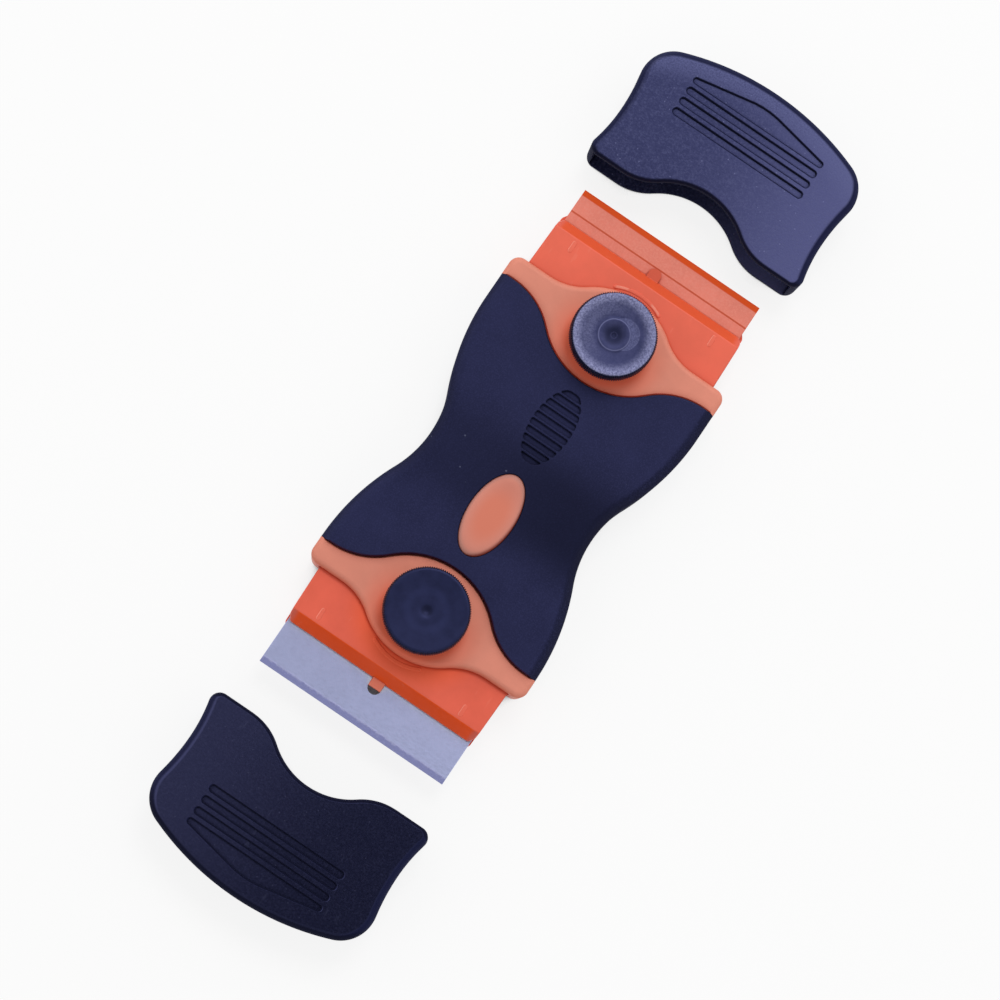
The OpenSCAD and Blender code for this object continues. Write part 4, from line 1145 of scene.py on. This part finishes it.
class SCRAPER_OT_knobs(bpy.types.Operator):
    """Builds the toothed clamp knobs"""

    bl_idname = "scraper.knobs"
    bl_label = "Knobs"

    def execute(self, context):
        finishes = {"plastic": knob_worn_sheened(), "steel": knob_smooth()}
        for end, way in ENDS:
            knob = self.turned(f"{end}_knob_dressed", end == "plastic")
            settle(knob, finishes[end], f"{end}_clamp_knob", f"{end}_knob", way, 30)
        return {"FINISHED"}

    @staticmethod
    def turned(name, hubbed):
        """Rings drawn out one after another from the insert's bore to the dimple."""
        s = sizes()
        points = 2 * s.knob_teeth
        tall = KNOB_HIGH - KNOB_LOW
        rings = [(3.2, 3.2), (3.2, 0.0), (6.7, 0.0), (7.0, 0.06), (7.25, 0.25), (7.72, 0.7), (7.8, 0.9)]
        below_top = [(7.8, 0.75), (7.74, 0.5), (7.58, 0.22), (7.38, 0.06), (7.15, 0.0)]
        hollow = 0.62 if hubbed else 0.3
        below_top += [(r, hollow * (1 - (r / 7.1) ** 2)) for r in (6.9, 6.5, 6.0, 5.4, 4.8, 4.2, 3.7, 3.3)]
        if hubbed:
            below_top += [(3.12, 0.48), (3.0, 0.42), (2.85, 0.38), (2.6, 0.37), (2.3, 0.4), (1.9, 0.5),
                          (1.4, 0.75), (0.9, 0.98), (0.6, 1.05), (0.5, 1.06), (0.42, 1.16), (0.18, 1.2)]
        else:
            below_top += [(2.9, 0.26), (2.5, 0.27), (2.0, 0.28), (1.5, 0.29), (1.1, 0.34), (0.8, 0.45),
                          (0.5, 0.55), (0.2, 0.6)]
        rings += [(r, tall - d) for r, d in below_top]

        def ring(radius, height):
            dip = s.tooth_depth / MM * min(1.0, max(0.0, (radius - 7.15) / 0.5))
            return [((radius - dip * (i % 2)) * math.cos(math.tau * i / points),
                     BOLT_PLACE + (radius - dip * (i % 2)) * math.sin(math.tau * i / points),
                     KNOB_LOW + height) for i in range(points)]

        knob = loft(name, [ring(r, z) for r, z in rings])
        if hubbed:
            flash = plate("flash", circle(FLASH_RADIUS, 64, (FLASH[0], BOLT_PLACE + FLASH[1])),
                          KNOB_LOW + 4.0, KNOB_HIGH - 0.45)
            soften(flash, lambda p: p.z > KNOB_HIGH - 0.5, 0.08, 2)
            combine(flash, plate("hub_way", circle(2.7, 64, (0, BOLT_PLACE)), KNOB_LOW + 3, KNOB_HIGH + 1))
            combine(knob, flash, "UNION")
        return knob


class SCRAPER_OT_caps(bpy.types.Operator):
    """Builds the two blade caps with their finger grooves"""

    bl_idname = "scraper.caps"
    bl_label = "Caps"

    def execute(self, context):
        finish = cap_plastic()
        near = self.shell("plastic_cap_dressed")
        caps = {"plastic": near, "steel": copy_of(near, "steel_cap_dressed")}
        for end, way in ENDS:
            cap, shift = caps[end], (0, CAP_MOUTHS[end] * MM, 0)
            on_whole(cap, lambda: bpy.ops.transform.translate(value=shift))
            settle(cap, finish, f"{end}_blade_cap", f"{end}_cap", way)
        return {"FINISHED"}

    @staticmethod
    def grooves(low, high):
        """Cutters for the finger grooves: three straight, then one with a peaked far side."""
        places = [FINGER_FIRST + FINGER_PITCH * i for i in range(4)]
        outlines = [[(x, y + place, 1) for x, y, _ in stadium(FINGER_RUN, FINGER_HALF)]
                    for place in places[:3]]
        base = places[3] - FINGER_HALF
        corner = (FINGER_RUN - FINGER_CORNER, base + FINGER_CORNER)
        outlines.append(both_sides(arc(corner, FINGER_CORNER, -90, 98)
                                   + [(x, base + y, 1) for x, y in FINGER_PEAK]))
        return join(*[plate("finger", outline, low, high) for outline in outlines])

    def shell(self, name):
        s = sizes()
        cap = rounded_plate(name, cap_outline(CAP_LIP_SHARE), 0, CORE_TOP, s.cap_rounding / MM)
        wall = [(HALF_WIDTH - CAP_WALL, -1.0, 1)] + cap_side(CAP_WALL)
        inside = wall + [(-x, y, 1) for x, y, _ in reversed(wall[:-1])]
        combine(cap, plate("inside", inside, CAP_WALL, CORE_TOP - CAP_WALL))
        depth = s.finger_depth / MM
        combine(cap, self.grooves(CORE_TOP - depth, CORE_TOP + 1))
        combine(cap, self.grooves(-1, depth))
        soften(cap, lambda p: (not 0.1 < p.z < CORE_TOP - 0.1 and abs(p.x) < 14.5
                               and 12 < p.y < 25.5), 0.33, 4)
        return cap


class SCRAPER_OT_hardware(bpy.types.Operator):
    """Gives the bolts, washers and inserts their metal finishes"""

    bl_idname = "scraper.hardware"
    bl_label = "Bolts, washers and inserts"

    def execute(self, context):
        plated = plated_metal("plated_steel_parts", (0.56, 0.57, 0.6), 1400)
        brass = plated_metal("brass_inserts", (0.62, 0.42, 0.16), 1100)
        for end, _ in ENDS:
            for node, finish in ((f"{end}_clamp_bolt", plated), (f"{end}_washer", plated),
                                 (f"{end}_knob_insert", brass)):
                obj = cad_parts[node]
                obj.data.materials.clear()
                obj.data.materials.append(finish)
        return {"FINISHED"}


PIECES = (SCRAPER_OT_stage, SCRAPER_OT_core, SCRAPER_OT_grip, SCRAPER_OT_jaws, SCRAPER_OT_blades,
          SCRAPER_OT_knobs, SCRAPER_OT_caps, SCRAPER_OT_hardware)


class SCRAPER_PT_panel(bpy.types.Panel):
    """Lists the pieces of the scraper, their sizes and their colours"""

    bl_idname = "SCRAPER_PT_panel"
    bl_label = "Blade scraper"
    bl_space_type = "VIEW_3D"
    bl_region_type = "UI"
    bl_category = "Scraper"

    def draw(self, context):
        for piece in PIECES:
            self.layout.operator(piece.bl_idname)
        for group in (context.scene.scraper_sizes, context.scene.scraper_colours):
            box = self.layout.box()
            for name in group.__annotations__:
                box.prop(group, name)


CLASSES = (ScraperSizes, ScraperColours) + PIECES + (SCRAPER_PT_panel,)


def register():
    for item in CLASSES:
        bpy.utils.register_class(item)
    bpy.types.Scene.scraper_sizes = PointerProperty(type=ScraperSizes)
    bpy.types.Scene.scraper_colours = PointerProperty(type=ScraperColours)


def unregister():
    del bpy.types.Scene.scraper_colours
    del bpy.types.Scene.scraper_sizes
    for item in reversed(CLASSES):
        bpy.utils.unregister_class(item)


def main():
    register()
    bpy.ops.scraper.stage()
    bpy.ops.scraper.core()
    bpy.ops.scraper.grip()
    bpy.ops.scraper.jaws()
    bpy.ops.scraper.blades()
    bpy.ops.scraper.knobs()
    bpy.ops.scraper.caps()
    bpy.ops.scraper.hardware()


if __name__ == "__main__":
    main()
